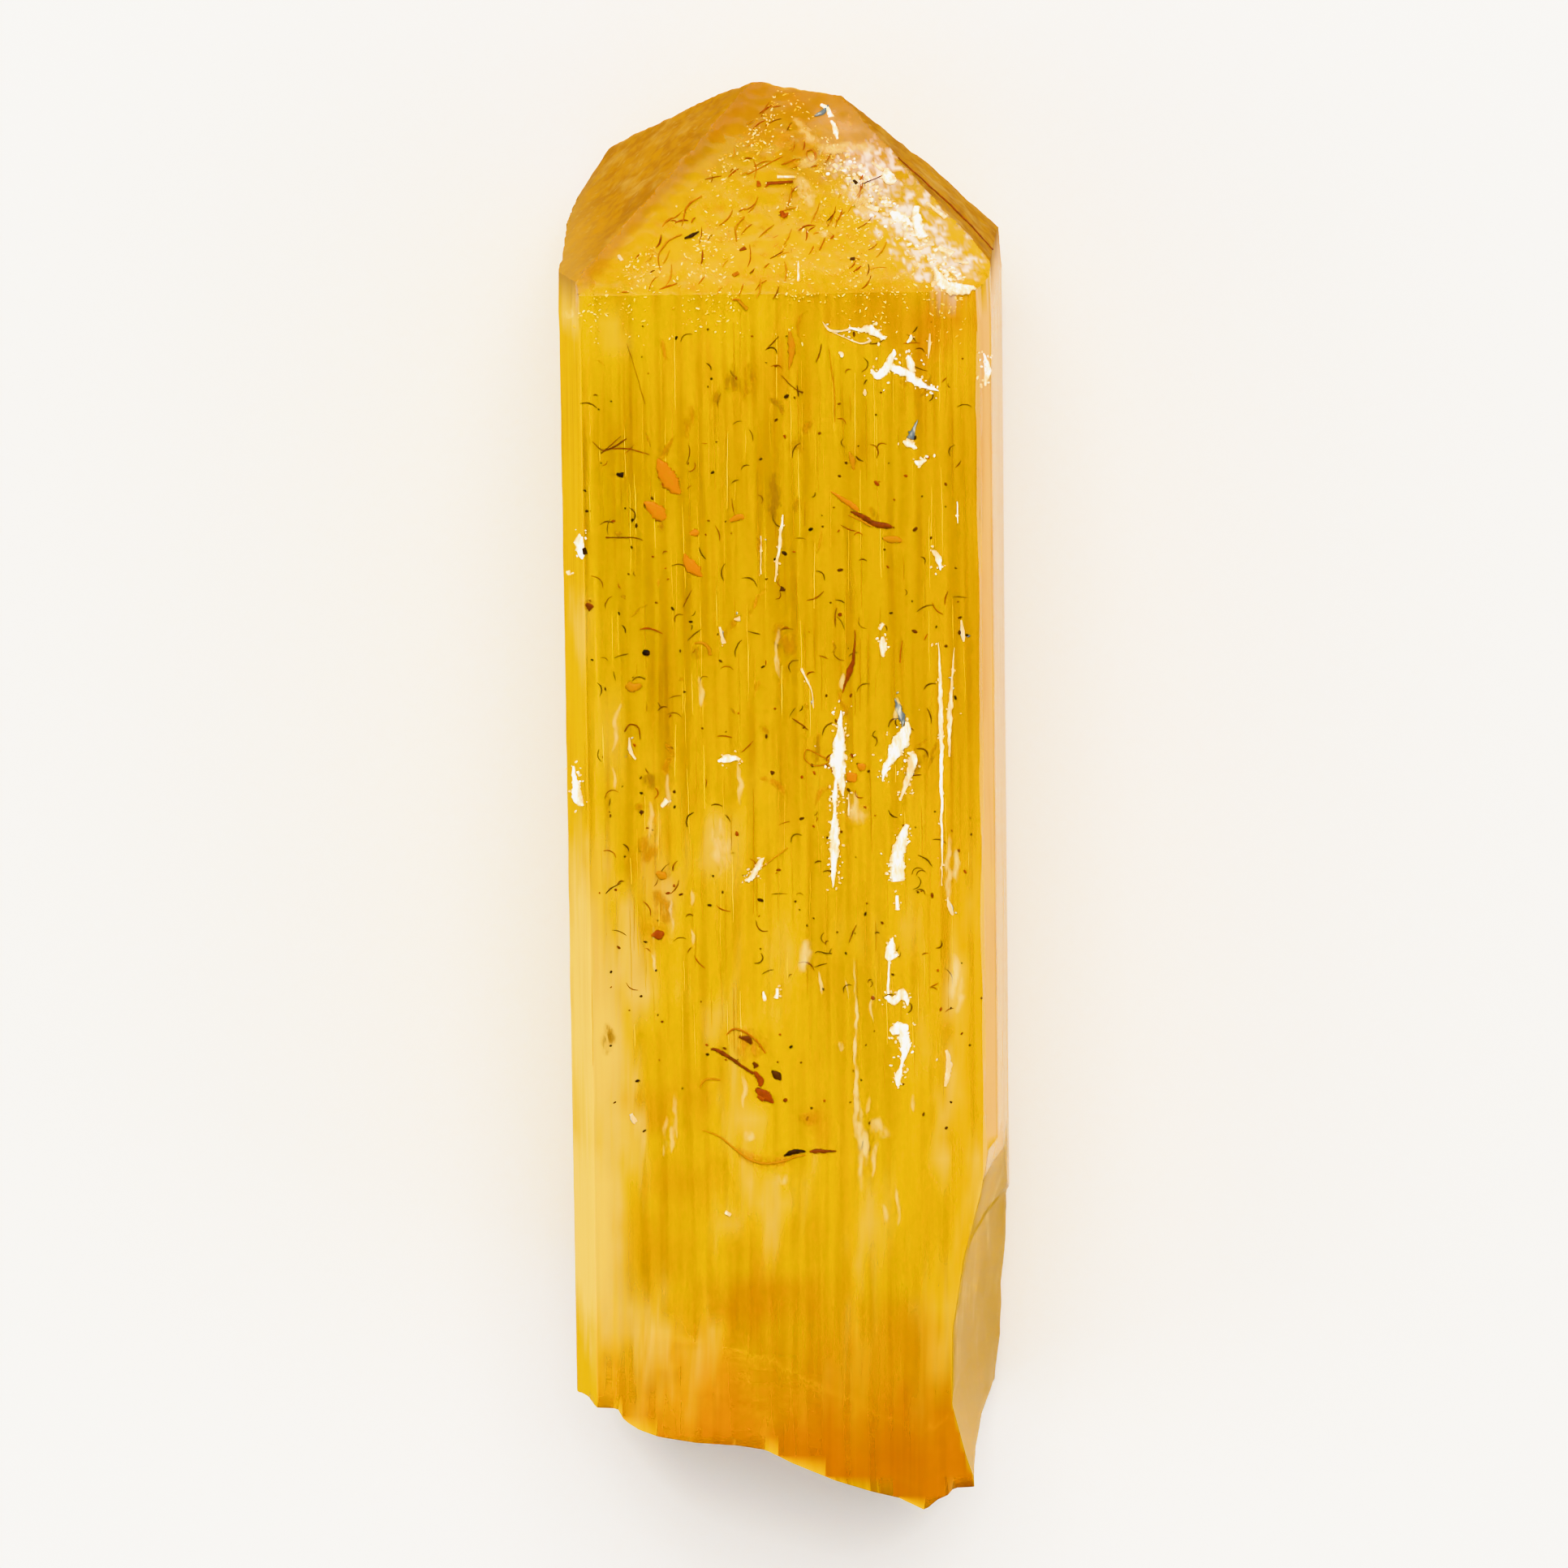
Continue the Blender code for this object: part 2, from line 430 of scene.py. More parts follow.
# growth lines and steps along the prism, pits and hillocks on the end faces, worn edges
def reliefTree(material):
    group, tree, given = newGeometryTree("growthRelief", relief)
    place = tree.meshPlace()
    normal = tree.add("GeometryNodeInputNormal")
    px, py, pz = tree.split(place)
    x, y, z = px + given.out("Seed"), py, pz
    endFace = tree.split(normal)[1].rise(0.25, 0.5)

    lines = tree.noise((x, y * pattern["linesAlong"], z), pattern["lines"], 3.0, 0.6)
    swell = tree.noise((x, y * pattern["swellAlong"], z), pattern["swell"], 2.0, 0.5)
    steps = (swell * pattern["steps"]).maths("FLOOR") / pattern["steps"]
    prismDip = lines * given.out("Line Depth") + (1.0 - steps) * given.out("Step Depth")
    prismDip = prismDip * (1.0 - py.rise(*pattern["shoulder"]) * pattern["calmer"])

    broadPits = 1.0 - tree.cells((x, y, z), pattern["broadPits"]).rise(*pattern["pitEdge"])
    finePits = 1.0 - tree.cells((x, y, z), pattern["finePits"]).rise(*pattern["pitEdge"])
    patchy = tree.noise((x, y, z), 0.8, 2.0, 0.5).rise(0.35, 0.62)
    hills = tree.noise((x, y, z), pattern["hills"], 4.0, 0.6)
    pits = broadPits * 0.9 + finePits * 0.5 * patchy
    endDip = pits * given.out("Pit Depth") + (hills - 0.25).most(0.0) * given.out("Hill Depth")

    ridge = tree.add(
        "GeometryNodeBlurAttribute", {"data_type": "FLOAT"},
        {0: tree.kept("ridge"), "Iterations": given.out("Edge Softness")},
    )
    nicks = tree.noise(place, pattern["nicks"], 3.0, 0.6).rise(0.35, 0.75)
    wear = ridge * (nicks * 0.9 + 0.35) * given.out("Edge Wear")
    dip = prismDip * (1.0 - endFace) + endDip * endFace + wear
    # straight towards the axis, or towards its end from the end faces, so that faces never cross
    outward = (px, py - py.maths("MINIMUM", given.out("Axis End")), pz - axisZ)
    inward = tree.vector("SCALE", tree.vector("NORMALIZE", outward), 0.0 - dip)
    moved = {"Geometry": given, "Offset": inward}
    finishTree(tree, tree.add("GeometryNodeSetPosition", None, moved), material)
    return group


# what shows on the skin: rusty stain, streaks, frosted faces and cloudy patches, and painted light: a
# reflection on the right-hand faces, shade and light on the end's side facets, and glints on the front end
# face
skin = {"Streaks": 1.0, "Stain": 1.0, "Frost": 1.0, "Cloud": 1.0, "Seed": 2.0}

skinColours = {
    "clear": (1.0, 1.0, 1.0),
    "rust": (0.84, 0.44, 0.10),
    "sun": (1.0, 0.92, 0.30),
    "streak": (0.66, 0.42, 0.20),
    "yellow": (0.95, 0.62, 0.004),
    "stained": (0.78, 0.32, 0.002),
    "ember": (0.475, 0.132, 0.001),
    "sand": (0.46, 0.27, 0.05),
    "peach": (0.70, 0.44, 0.18),
    "cream": (0.80, 0.57, 0.15),
    "white": (0.88, 0.79, 0.68),
    "sunny": (0.82, 0.50, 0.004),
    "gold": (0.62, 0.37, 0.004),
    "amber": (0.50, 0.21, 0.004),
    "umber": (0.27, 0.10, 0.002),
    "resin": (0.37, 0.165, 0.004),
    "honey": (0.50, 0.28, 0.008),
}

# the share of frost in the glass: all over, what the shoulder, the right and the low end add to it,
# and what growth streaks and the broken face take away
haze = {
    "allOver": 0.24, "shoulder": 0.12, "right": 0.08, "lowerHalf": 0.09, "lowEnd": 0.26,
    "streaks": 0.08, "broken": 0.06,
}

# soft spots on the front and back, as (x, y, half width, half length, amount)
rustSpots = (
    (2.6, 13.0, 1.6, 0.6, 0.45), (1.0, 12.7, 0.8, 0.7, 0.35), (0.1, 11.9, 0.16, 0.8, 0.5),
    (2.8, 12.2, 1.8, 0.9, 0.35), (1.7, 9.1, 0.25, 0.6, 0.35), (-4.4, 10.2, 0.9, 0.5, 0.2),
    (-3.5, -0.7, 0.45, 0.6, 0.45), (-3.1, -1.5, 0.4, 0.5, 0.45), (-3.3, -2.7, 0.5, 0.7, 0.5),
    (-2.6, 0.4, 0.3, 0.6, 0.25), (0.0, 0.3, 0.4, 1.2, 0.2), (-3.6, -7.2, 1.1, 0.8, 0.55),
    (-2.4, -6.9, 1.0, 0.9, 0.3), (0.5, -7.6, 0.5, 0.6, 0.5), (-2.7, -9.2, 1.5, 0.8, 0.35),
    (0.8, -4.2, 0.7, 0.4, 0.3), (-3.6, -11.2, 1.2, 1.3, 0.45), (-0.8, -12.4, 2.0, 0.8, 0.7),
    (2.8, -13.4, 1.5, 1.6, 0.6), (0.4, -15.3, 2.2, 1.2, 0.4), (2.6, -16.5, 2.0, 1.3, 0.6),
    (-1.9, -15.9, 0.8, 0.5, 0.4), (3.6, -15.9, 0.9, 1.4, 0.45),
)
cloudSpots = (
    (-5.0, -5.2, 1.2, 5.0, 0.9), (-5.2, -10.6, 1.2, 3.6, 1.0), (-3.7, -4.1, 0.6, 1.4, 0.8),
    (-4.5, -8.2, 1.1, 1.3, 0.7), (-4.8, -12.4, 0.9, 1.6, 0.7), (-4.4, 2.0, 0.7, 1.4, 0.35),
    (-5.1, 4.6, 0.5, 1.6, 0.35), (-1.8, -0.8, 0.7, 0.9, 0.6), (-2.1, -5.0, 0.6, 0.7, 0.5),
    (-1.1, -8.0, 0.6, 0.5, 0.6), (-0.3, -9.4, 0.7, 0.5, 0.5), (-1.7, -10.2, 0.8, 0.5, 0.4),
    (4.0, -4.0, 0.35, 1.3, 0.6), (3.9, -6.4, 0.3, 1.2, 0.5), (3.6, -8.8, 0.4, 1.1, 0.5),
    (-5.2, 12.8, 0.4, 0.4, 0.6), (-4.2, 12.4, 0.5, 0.7, 0.35), (-4.0, -12.3, 1.0, 0.5, 0.5),
)


def spotSum(x, y, spots):
    total = None
    for atX, atY, across, along, amount in spots:
        u = (x - atX) / across
        v = (y - atY) / along
        here = (1.0 - (u * u + v * v)).most(0.0) * amount
        total = here if total is None else total.most(here)
    return total


# how far a place lies below a face, in millimetres
def faceGap(tree, place, azimuth, polar, point):
    normal = direction(azimuth, polar)
    return normal.dot(Vector(point)) - tree.vector("DOT_PRODUCT", place, normal, output=1)


def endGap(tree, place, azimuth, polar, above):
    return faceGap(tree, place, azimuth, polar, (0.0, apexY + above, axisZ))


def skinTree(material):
    group, tree, given = newGeometryTree("skinMarks", skin)
    place = tree.meshPlace()
    x, y, z = tree.split(place)
    nx, ny, nz = tree.split(tree.add("GeometryNodeInputNormal"))
    seed = given.out("Seed")
    colours = {name: (*value, 1.0) for name, value in skinColours.items()}

    grains = tree.noise((x, y, z + seed), 3.4, 4.0, 0.7)
    # faces are told by how near their plane is, whatever the relief does to the normal
    near = {}
    for name, (azimuth, polar, above) in zip(crystal["endNames"], crystal["endFaces"]):
        near[name] = 1.0 - endGap(tree, place, azimuth, polar, above).rise(0.16, 0.28)
    upright = nz.rise(0.34, 0.50)
    near["front"] = near["front"] * (y + (grains - 0.5) * 1.6).rise(12.9, 13.9)
    onEnd = near["front"]
    for name in crystal["endNames"][1:]:
        onEnd = onEnd.most(near[name])
    near["front"] = near["front"] * upright
    sideFacets = near["left"].most(near["lowLeft"]).most(near["right"]).most(near["farRight"])
    sideFacets = sideFacets * (1.0 - upright)
    leftGap = endGap(tree, place, *crystal["endFaces"][3])
    onPrism = 1.0 - onEnd
    # painted reflection: peach frost on the sloping right-hand face and on the right side, standing in for
    # the bright room they reflect
    cornerSheen = nx.rise(0.50, 0.62) * nz.rise(0.45, 0.58) * onPrism
    rightSideSheen = nx.rise(0.86, 0.95) * onPrism
    leftEdge = (0.0 - nx).rise(0.12, 0.30) * nz.rise(0.0, 0.12) * onPrism
    broken = (0.0 - ny).rise(0.35, 0.70)
    spall = nx.rise(0.45, 0.75) * (1.0 - y.rise(-9.9, -9.3)) * (1.0 - (x - 5.5).rise(0.0, 0.1))

    # long streaks, fine ones over broad ones: the growth streaks' own colour, darkened further as painted
    # shade standing in for the shading of the striated faces
    fine = tree.noise((x + seed, y * 0.022, z), 4.2, 3.0, 0.65)
    broad = tree.noise((x, y * 0.05, z + seed), 0.9, 3.0, 0.55)
    wavy = tree.noise((x, y * 0.5, z + seed), 0.7, 3.0, 0.6)
    sway = tree.noise((x + seed, y * 0.4, z + 7.0), 0.7, 3.0, 0.6)
    hairline = tree.noise((x + seed, y * 0.012, z), 8.5, 2.0, 0.6)
    dark = fine.rise(0.44, 0.62) * 0.30 + hairline.rise(0.50, 0.62) * 0.32 + broad.rise(0.45, 0.68) * 0.12
    dark = dark * (0.25 + wavy.rise(0.35, 0.62)) * (0.20 + y.rise(-9.0, 3.0) * 0.80) * onPrism
    dark = dark * (1.0 - (y + (grains - 0.5) * 3.0).rise(10.8, 13.0) * 0.85) * given.out("Streaks")

    # rusty stain: see the spots above, the broken end, the right-hand side and the shoulder
    spotX = x + (sway - 0.5) * 1.6
    spotY = y + (wavy - 0.5) * 3.2
    lowEnd = 1.0 - (y + (wavy - 0.5) * 5.0).rise(-17.2, -11.4)
    rightBand = (x + (sway - 0.5) * 1.5).rise(2.0, 5.0)
    underEnd = spotY.rise(11.6, 12.8) * (x + (sway - 0.5) * 2.0).rise(-0.8, 2.2) * onPrism
    topEnd = (y + (sway + grains - 1.0) * 2.4).rise(14.4, 18.2) * onEnd
    bands = (leftGap * 5.2 + sway * 3.0).maths("SINE").rise(-0.4, 0.9)
    ridgeBands = (1.0 - leftGap.rise(0.1, 1.1)) * (0.35 + bands * 0.65) * near["front"]
    stain = spotSum(spotX, spotY, rustSpots).most(lowEnd * 0.8).most(rightBand * 0.26)
    stain = (stain + underEnd * 0.35).most(topEnd * 0.30).most(ridgeBands * 0.7)
    mottled = (grains + wavy - 1.0).rise(0.02, 0.22) * y.rise(8.0, 12.8) * onPrism
    seeped = (1.0 - broad.rise(0.34, 0.50)) * (1.0 - y.rise(-4.0, 6.0)) * onPrism
    stain = (stain + mottled * 0.35 + seeped * 0.22).clamped() * given.out("Stain")
    tint = tree.blend(stain, colours["clear"], colours["rust"])
    tint = tree.blend(near["front"] * (1.0 - stain), tint, colours["sun"])
    tint = tree.blend(dark, tint, colours["streak"])

    # etched white along the right-hand ridge of the end, in grains, thinning to a peach bloom
    ridgeX, ridgeY = (x - 1.9) * 0.707, (y - 16.2) * 0.707
    alongRidge, offRidge = ridgeX - ridgeY, ridgeX + ridgeY
    beyond = ((alongRidge - 1.9).maths("ABSOLUTE") - 1.7).most(0.0) / 0.6
    etchField = 1.0 - (offRidge + 0.12) * (offRidge + 0.12) / 0.62 - beyond * beyond
    etched = (etchField + (grains - 0.5) * 9.0).rise(0.2, 1.8) * near["front"]
    bloomField = 1.0 - (alongRidge + 0.2) * (alongRidge + 0.2) / 2.2 - offRidge * offRidge / 0.7
    bloom = (bloomField + (grains - 0.5) * 2.0).rise(0.0, 1.2) * near["front"]
    # pale patches on the side facets of the end, paler towards their lower left: real mottling, with painted
    # light to the lower left
    facetPatchesAndLight = tree.noise((x, y, z), 0.9, 4.0, 0.65).rise(0.46, 0.70) * sideFacets
    lowLeft = ((0.0 - x) * 0.8 - y * 0.35 + (grains - 0.5) * 1.6).rise(-2.0, -0.2)
    facetPatchesAndLight = facetPatchesAndLight.most(lowLeft * sideFacets * 0.9)
    frontGap = endGap(tree, place, *crystal["endFaces"][0])
    # painted shade: the side facets darken along their ridge with the front end face, with darker mottling
    # besides
    shade = (1.0 - frontGap.rise(0.2, 0.9)) * 0.4 + (grains * 1.5 + sway - 1.25).rise(-0.10, 0.16) * 0.9
    shade = shade.clamped() * sideFacets
    dots = (1.0 - tree.cells((x, y, z), 4.2).rise(0.08, 0.38)) * grains.rise(0.42, 0.60)
    # frosted flecks on the front end face: painted glints
    glintFlecks = (1.0 - tree.cells((x, y * 0.8, z), 3.0).rise(0.06, 0.16)) * grains.rise(0.40, 0.60)
    glintFlecks = glintFlecks * near["front"]

    cloud = spotSum(spotX, spotY, cloudSpots) * nz.rise(0.0, 0.15) * onPrism * given.out("Cloud")
    drifts = tree.noise((x, y * 0.3, z + 3.0), 0.85, 4.0, 0.65)
    lower = (1.0 - y.rise(-5.0, 4.0)) * onPrism * nz.rise(0.0, 0.15)
    cloud = cloud.most(drifts.rise(0.48, 0.70) * lower * (0.45 + (0.0 - x).rise(-1.0, 4.0) * 0.4))
    cloud = cloud * (0.60 + fine.rise(0.35, 0.65) * 0.40) * (1.0 - lowEnd) * 0.46

    # a haze over every face, then how much frost lies where, and its colour
    deeper = y.rise(8.5, 12.5) * haze["shoulder"] + x.rise(2.0, 4.8) * haze["right"]
    deeper = deeper + (1.0 - y.rise(-3.0, 6.0)) * haze["lowerHalf"] + lowEnd * haze["lowEnd"]
    veil = haze["allOver"] + deeper * (1.0 - broken) - fine.rise(0.42, 0.62) * haze["streaks"]
    veil = veil - broken * haze["broken"]
    milkTint = tree.blend(stain, colours["yellow"], colours["stained"])
    milkTint = tree.blend(lowEnd * 0.9, milkTint, colours["ember"])
    milk = veil + cloud
    layers = (
        (onEnd * 0.40, "sunny"), (near["front"] * grains.rise(0.5, 0.75) * 0.4, "stained"),
        # side facets: painted shade by the front ridge and painted light to the lower left
        (sideFacets * 0.92, "resin"), (shade * 0.40, "umber"), (facetPatchesAndLight * 0.32, "sand"),
        (dots * sideFacets * 0.35, "sand"),
        (broken * sway.rise(0.48, 0.62) * 0.34, "honey"), (broken * dots * 0.6, "cream"),
        # peach on the right-hand faces: painted reflection
        (leftEdge * 0.95, "gold"), (cornerSheen * 0.75, "peach"), (rightSideSheen * (0.16 + fine * 0.40), "peach"),
        (spall * 0.7, "honey"), (topEnd * near["front"] * 0.5, "amber"), (ridgeBands * 0.45, "amber"),
        (bloom * 0.40, "peach"), (glintFlecks * 0.3, "sunny"), (etched * 0.75, "white"),
    )
    for amount, name in layers:
        milkTint = tree.blend((amount * 2.0).clamped(), milkTint, colours[name])
        milk = milk.most(amount * given.out("Frost"))
    milkTint = tree.blend((cloud * 4.0).clamped(), milkTint, colours["cream"])
    milkTint = tree.blend(dark * 0.7, milkTint, colours["streak"], "MULTIPLY")
    gloss = 0.015 + onEnd * (0.05 + grains.rise(0.4, 0.7) * 0.16) + fine * 0.03 + broken * 0.10
    marked = tree.store(given, "tint", tint, "FLOAT_COLOR")
    marked = tree.store(marked, "milkTint", milkTint, "FLOAT_COLOR")
    marked = tree.store(marked, "milk", milk.clamped())
    marked = tree.store(marked, "gloss", gloss.clamped())
    finishTree(tree, marked, material)
    return group


# the break climbs gently from its front edge, with low cleavage steps that fade in further back
def breakHeight(x, z):
    inward = depth - z
    wobble = noise.fractal(Vector((x * 0.35, z * 0.35, 3.0)), 1.0, 2.0, 2) * ease(inward, 0.0, 3.0)
    climb = breakage["rise"] * inward * (0.5 - x / width) + wobble * breakage["wobble"]
    share = climb / breakage["shelf"] + wobble
    stepped = (share - math.floor(share) - 0.5) * breakage["step"] * ease(inward, 2.0, 6.0)
    reach = math.hypot(x - width / 2, inward)
    ripple = breakage["ripple"] * math.sin(2 * math.pi * (reach + wobble) / breakage["pitch"])
    return follow(breakage["edge"], x) + climb - stepped + ripple * ease(inward, 0.0, 1.0)


# cutters reach past the crystal on every side
def pastDepth(v):
    return (v - 0.1) * 1.2 * depth


def breakSurface(u, v):
    x = (u - 0.5) * 1.3 * width
    z = pastDepth(v)
    return Vector((x, breakHeight(x, min(z, depth)), z))


def spallSurface(u, v):
    first, last = spalling["inner"][0][0], spalling["inner"][-1][0]
    y = first + (last - first) * u
    z = pastDepth(v)
    inner, outer = follow(spalling["inner"], y), follow(spalling["outer"], y)
    sunk = min(1.0, max(0.0, depth - z) / (spalling["reach"] * depth))
    ring = math.hypot(y + 19.0, (depth - z) * 0.8)
    ripple = spalling["ripple"] * (math.sin(ring * 3.4) + noise.fractal(Vector((y, z, 0.0)), 1.0, 2.0, 3))
    return Vector((inner + (outer - inner) * sunk ** spalling["hollow"] + ripple * sunk, y, z))


# a solid with one shaped side, swept back to a flat side
def cutter(name, surface, cells, axis, place):
    bm = bmesh.new()
    bmesh.ops.create_grid(bm, x_segments=cells[0], y_segments=cells[1], size=0.5)
    for vert in bm.verts:
        vert.co = surface(vert.co.x + 0.5, vert.co.y + 0.5) * mm
    swept = bmesh.ops.extrude_face_region(bm, geom=bm.faces[:])
    for item in swept["geom"]:
        if isinstance(item, bmesh.types.BMVert):
            item.co[axis] = place * mm
    bmesh.ops.recalc_face_normals(bm, faces=bm.faces)
    mesh = bpy.data.meshes.new(name)
    bm.to_mesh(mesh)
    bm.free()
    return newObject(name, mesh)


def carve(item, tool):
    cut = item.modifiers.new(tool.name, "BOOLEAN")
    cut.operation = "DIFFERENCE"
    cut.solver = "EXACT"
    cut.object = tool


crystalBody = newObject("crystalBody", facetedMesh(crystal))
print("faces scored:", len(crystalBody.data.polygons))
addTree(crystalBody, reliefTree(goldenTopaz), relief)
breakTool = cutter("breakTool", breakSurface, breakage["cells"], 1, -2 * apexY)
spallTool = cutter("spallTool", spallSurface, spalling["cells"], 0, width)
carve(crystalBody, breakTool)
carve(crystalBody, spallTool)
addTree(crystalBody, skinTree(goldenTopaz), skin)
settle(crystalBody)
for tool in (breakTool, spallTool):
    bpy.data.objects.remove(tool)
crystalBody.data.shade_smooth()
crystalBody.data.set_sharp_from_angle(angle=math.radians(crystal["smoothAngle"]))
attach(crystalBody, "root")
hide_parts("topaz_crystal")
crystalBody.data.calc_loop_triangles()
print("crystal body:", len(crystalBody.data.loop_triangles), "triangles")


# marks drawn as strokes on a face: every point carries its half width, its tone and which way its face looks
def strokeTree(material, look):
    group, tree, given = newGeometryTree("inlaidStrokes", look)
    curve = tree.add("GeometryNodeMeshToCurve", None, {"Mesh": given})
    curve = tree.add("GeometryNodeCurveSplineType", {"spline_type": "CATMULL_ROM"}, {"Curve": curve})
    paced = {"Curve": curve, "Length": given.out("Step")}
    curve = tree.add("GeometryNodeResampleCurve", {"mode": "LENGTH"}, paced)
    place = tree.meshPlace()
    drift = tree.noise(place, 2.3, 2.0).out("Color")
    drift = tree.vector("SCALE", tree.vector("SUBTRACT", drift, (0.5, 0.5, 0.5)), given.out("Wander"))
    facing = tree.kept("facing", "FLOAT_VECTOR")
    drift = tree.vector("SUBTRACT", drift, tree.vector("PROJECT", drift, facing))
    curve = tree.add("GeometryNodeSetPosition", None, {"Geometry": curve, "Offset": drift})
    curve = tree.store(curve, "centre", tree.add("GeometryNodeInputPosition"), "FLOAT_VECTOR")
    circle = {"Resolution": given.out("Sides"), "Radius": 1.0}
    ring = tree.add("GeometryNodeCurvePrimitiveCircle", None, circle)
    along = tree.add("GeometryNodeSplineParameter").out("Factor")
    curve = tree.store(curve, "ends", (along * (1.0 - along) * 4.0) ** 0.7)
    girth = tree.kept("girth") * given.out("Fullness")
    sweep = {"Curve": curve, "Profile Curve": ring, "Scale": girth, "Fill Caps": True}
    tube = tree.add("GeometryNodeCurveToMesh", None, sweep)
    centre = tree.kept("centre", "FLOAT_VECTOR")
    outward = tree.vector("SUBTRACT", tree.add("GeometryNodeInputPosition"), centre)
    rise = tree.vector("PROJECT", outward, facing)
    across = tree.vector("SUBTRACT", outward, rise)
    flat = (given.out("Thickness") / girth).clamped()
    ragged = (tree.noise(place, given.out("Grain"), 3.0, 0.7) - 0.5) * given.out("Ragged") + 1.0
    ragged = ragged.most(0.15)
    spread = tree.vector("ADD", tree.vector("SCALE", across, ragged), tree.vector("SCALE", rise, flat))
    # how far from the middle line, for soft edges
    rim = tree.vector("LENGTH", across, output=1) / girth
    tube = tree.store(tube, "rim", rim.clamped())
    moved = {"Geometry": tube, "Position": tree.vector("ADD", centre, spread)}
    finishTree(tree, tree.add("GeometryNodeSetPosition", None, moved), material)
    return group


# faces that carry marks, as a point on each and the way it faces
endAzimuth, endPolar, endAbove = crystal["endFaces"][0]
faces = {
    "front": (Vector((0.0, 0.0, depth)), direction(90.0, 90.0)),
    "end": (Vector((0.0, apexY + endAbove, axisZ)), direction(endAzimuth, endPolar)),
}
# the sloping neighbours of the front face, which marks near its edges follow
slopes = [(direction(azimuth, 90.0), distance) for azimuth, distance in crystal["prismFaces"][4:7:2]]
parallax = 0.13  # how far down the prism a mark moves for each millimetre below its face's plane


def onFace(face, x, y, below):
    facing = faces[face][1]
    z = min(axisZ + (distance - normal.x * x) / normal.z for normal, distance in slopes)
    for point, normal in faces.values():
        z = min(z, point.z - (normal.x * (x - point.x) + normal.y * (y - point.y)) / normal.z)
    return (Vector((x, y - parallax * below, z)) - facing * below) * mm


def pointMesh(name, places, edges, values):
    mesh = bpy.data.meshes.new(name)
    mesh.from_pydata(places, edges, [])
    for label, (kind, entries) in values.items():
        layer = mesh.attributes.new(label, kind, "POINT")
        flat = np.array(entries, dtype=np.float32).ravel()
        layer.data.foreach_set("vector" if kind == "FLOAT_VECTOR" else "value", flat)
    return mesh


# groups is a list of (face, depth below its plane, strokes)
# the relief lowers the skin by about 0.03 mm, so most marks stand on it and not in it
def inlay(name, material, look, groups):
    places, edges, girths, tones, facings = [], [], [], [], []
    for face, below, strokes in groups:
        for tone, *line in strokes:
            for number, (x, y, half) in enumerate(line):
                if number:
                    edges.append((len(places) - 1, len(places)))
                places.append(onFace(face, x, y, below))
                girths.append(half * mm)
                tones.append(tone)
                facings.append(faces[face][1])
    kept = {"girth": ("FLOAT", girths), "tone": ("FLOAT", tones), "facing": ("FLOAT_VECTOR", facings)}
    item = newObject(name, pointMesh(name, places, edges, kept))
    addTree(item, strokeTree(material, look), look)
    finishPiece(item)


def finishPiece(item):
    settle(item)
    item.data.shade_smooth()
    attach(item, "root")
    item.data.calc_loop_triangles()
    print(item.name + ":", len(item.data.loop_triangles), "triangles")


def tonedMaterial(name, look):
    material, tree = newMaterial(name)
    place = tree.vector("MULTIPLY", placeInMm(tree), (1.0, look["mottleLength"], 1.0))
    mottle = tree.noise(place, look["mottleScale"], 3.0, 0.6)
    rim = tree.painted("rim")
    tone = tree.painted("tone") + (mottle - 0.5) * look["mottle"] - rim ** 4.0 * look["edgeTone"]
    colour = tree.add("ShaderNodeValToRGB", {"stops": look["stops"]}, {0: tone})
    bump = tree.add(
        "ShaderNodeBump", None, {"Strength": 0.6, "Distance": look["bumpHeight"], "Height": mottle}
    )
    shell = {"Base Color": colour, "Roughness": look["roughness"], "Normal": bump}
    shell["Specular IOR Level"] = 0.1
    if look["opacity"] < 1.0:
        soft = (1.0 - rim * rim) ** 2.0 * (1.2 - tone * 0.6) * tree.painted("ends")
        shell["Alpha"] = (soft * look["opacity"] * (0.1 + mottle.rise(0.35, 0.62) * 1.3)).clamped()
    skinned = tree.add("ShaderNodeBsdfPrincipled", None, shell)
    tree.add("ShaderNodeOutputMaterial", None, {"Surface": skinned})
    return material
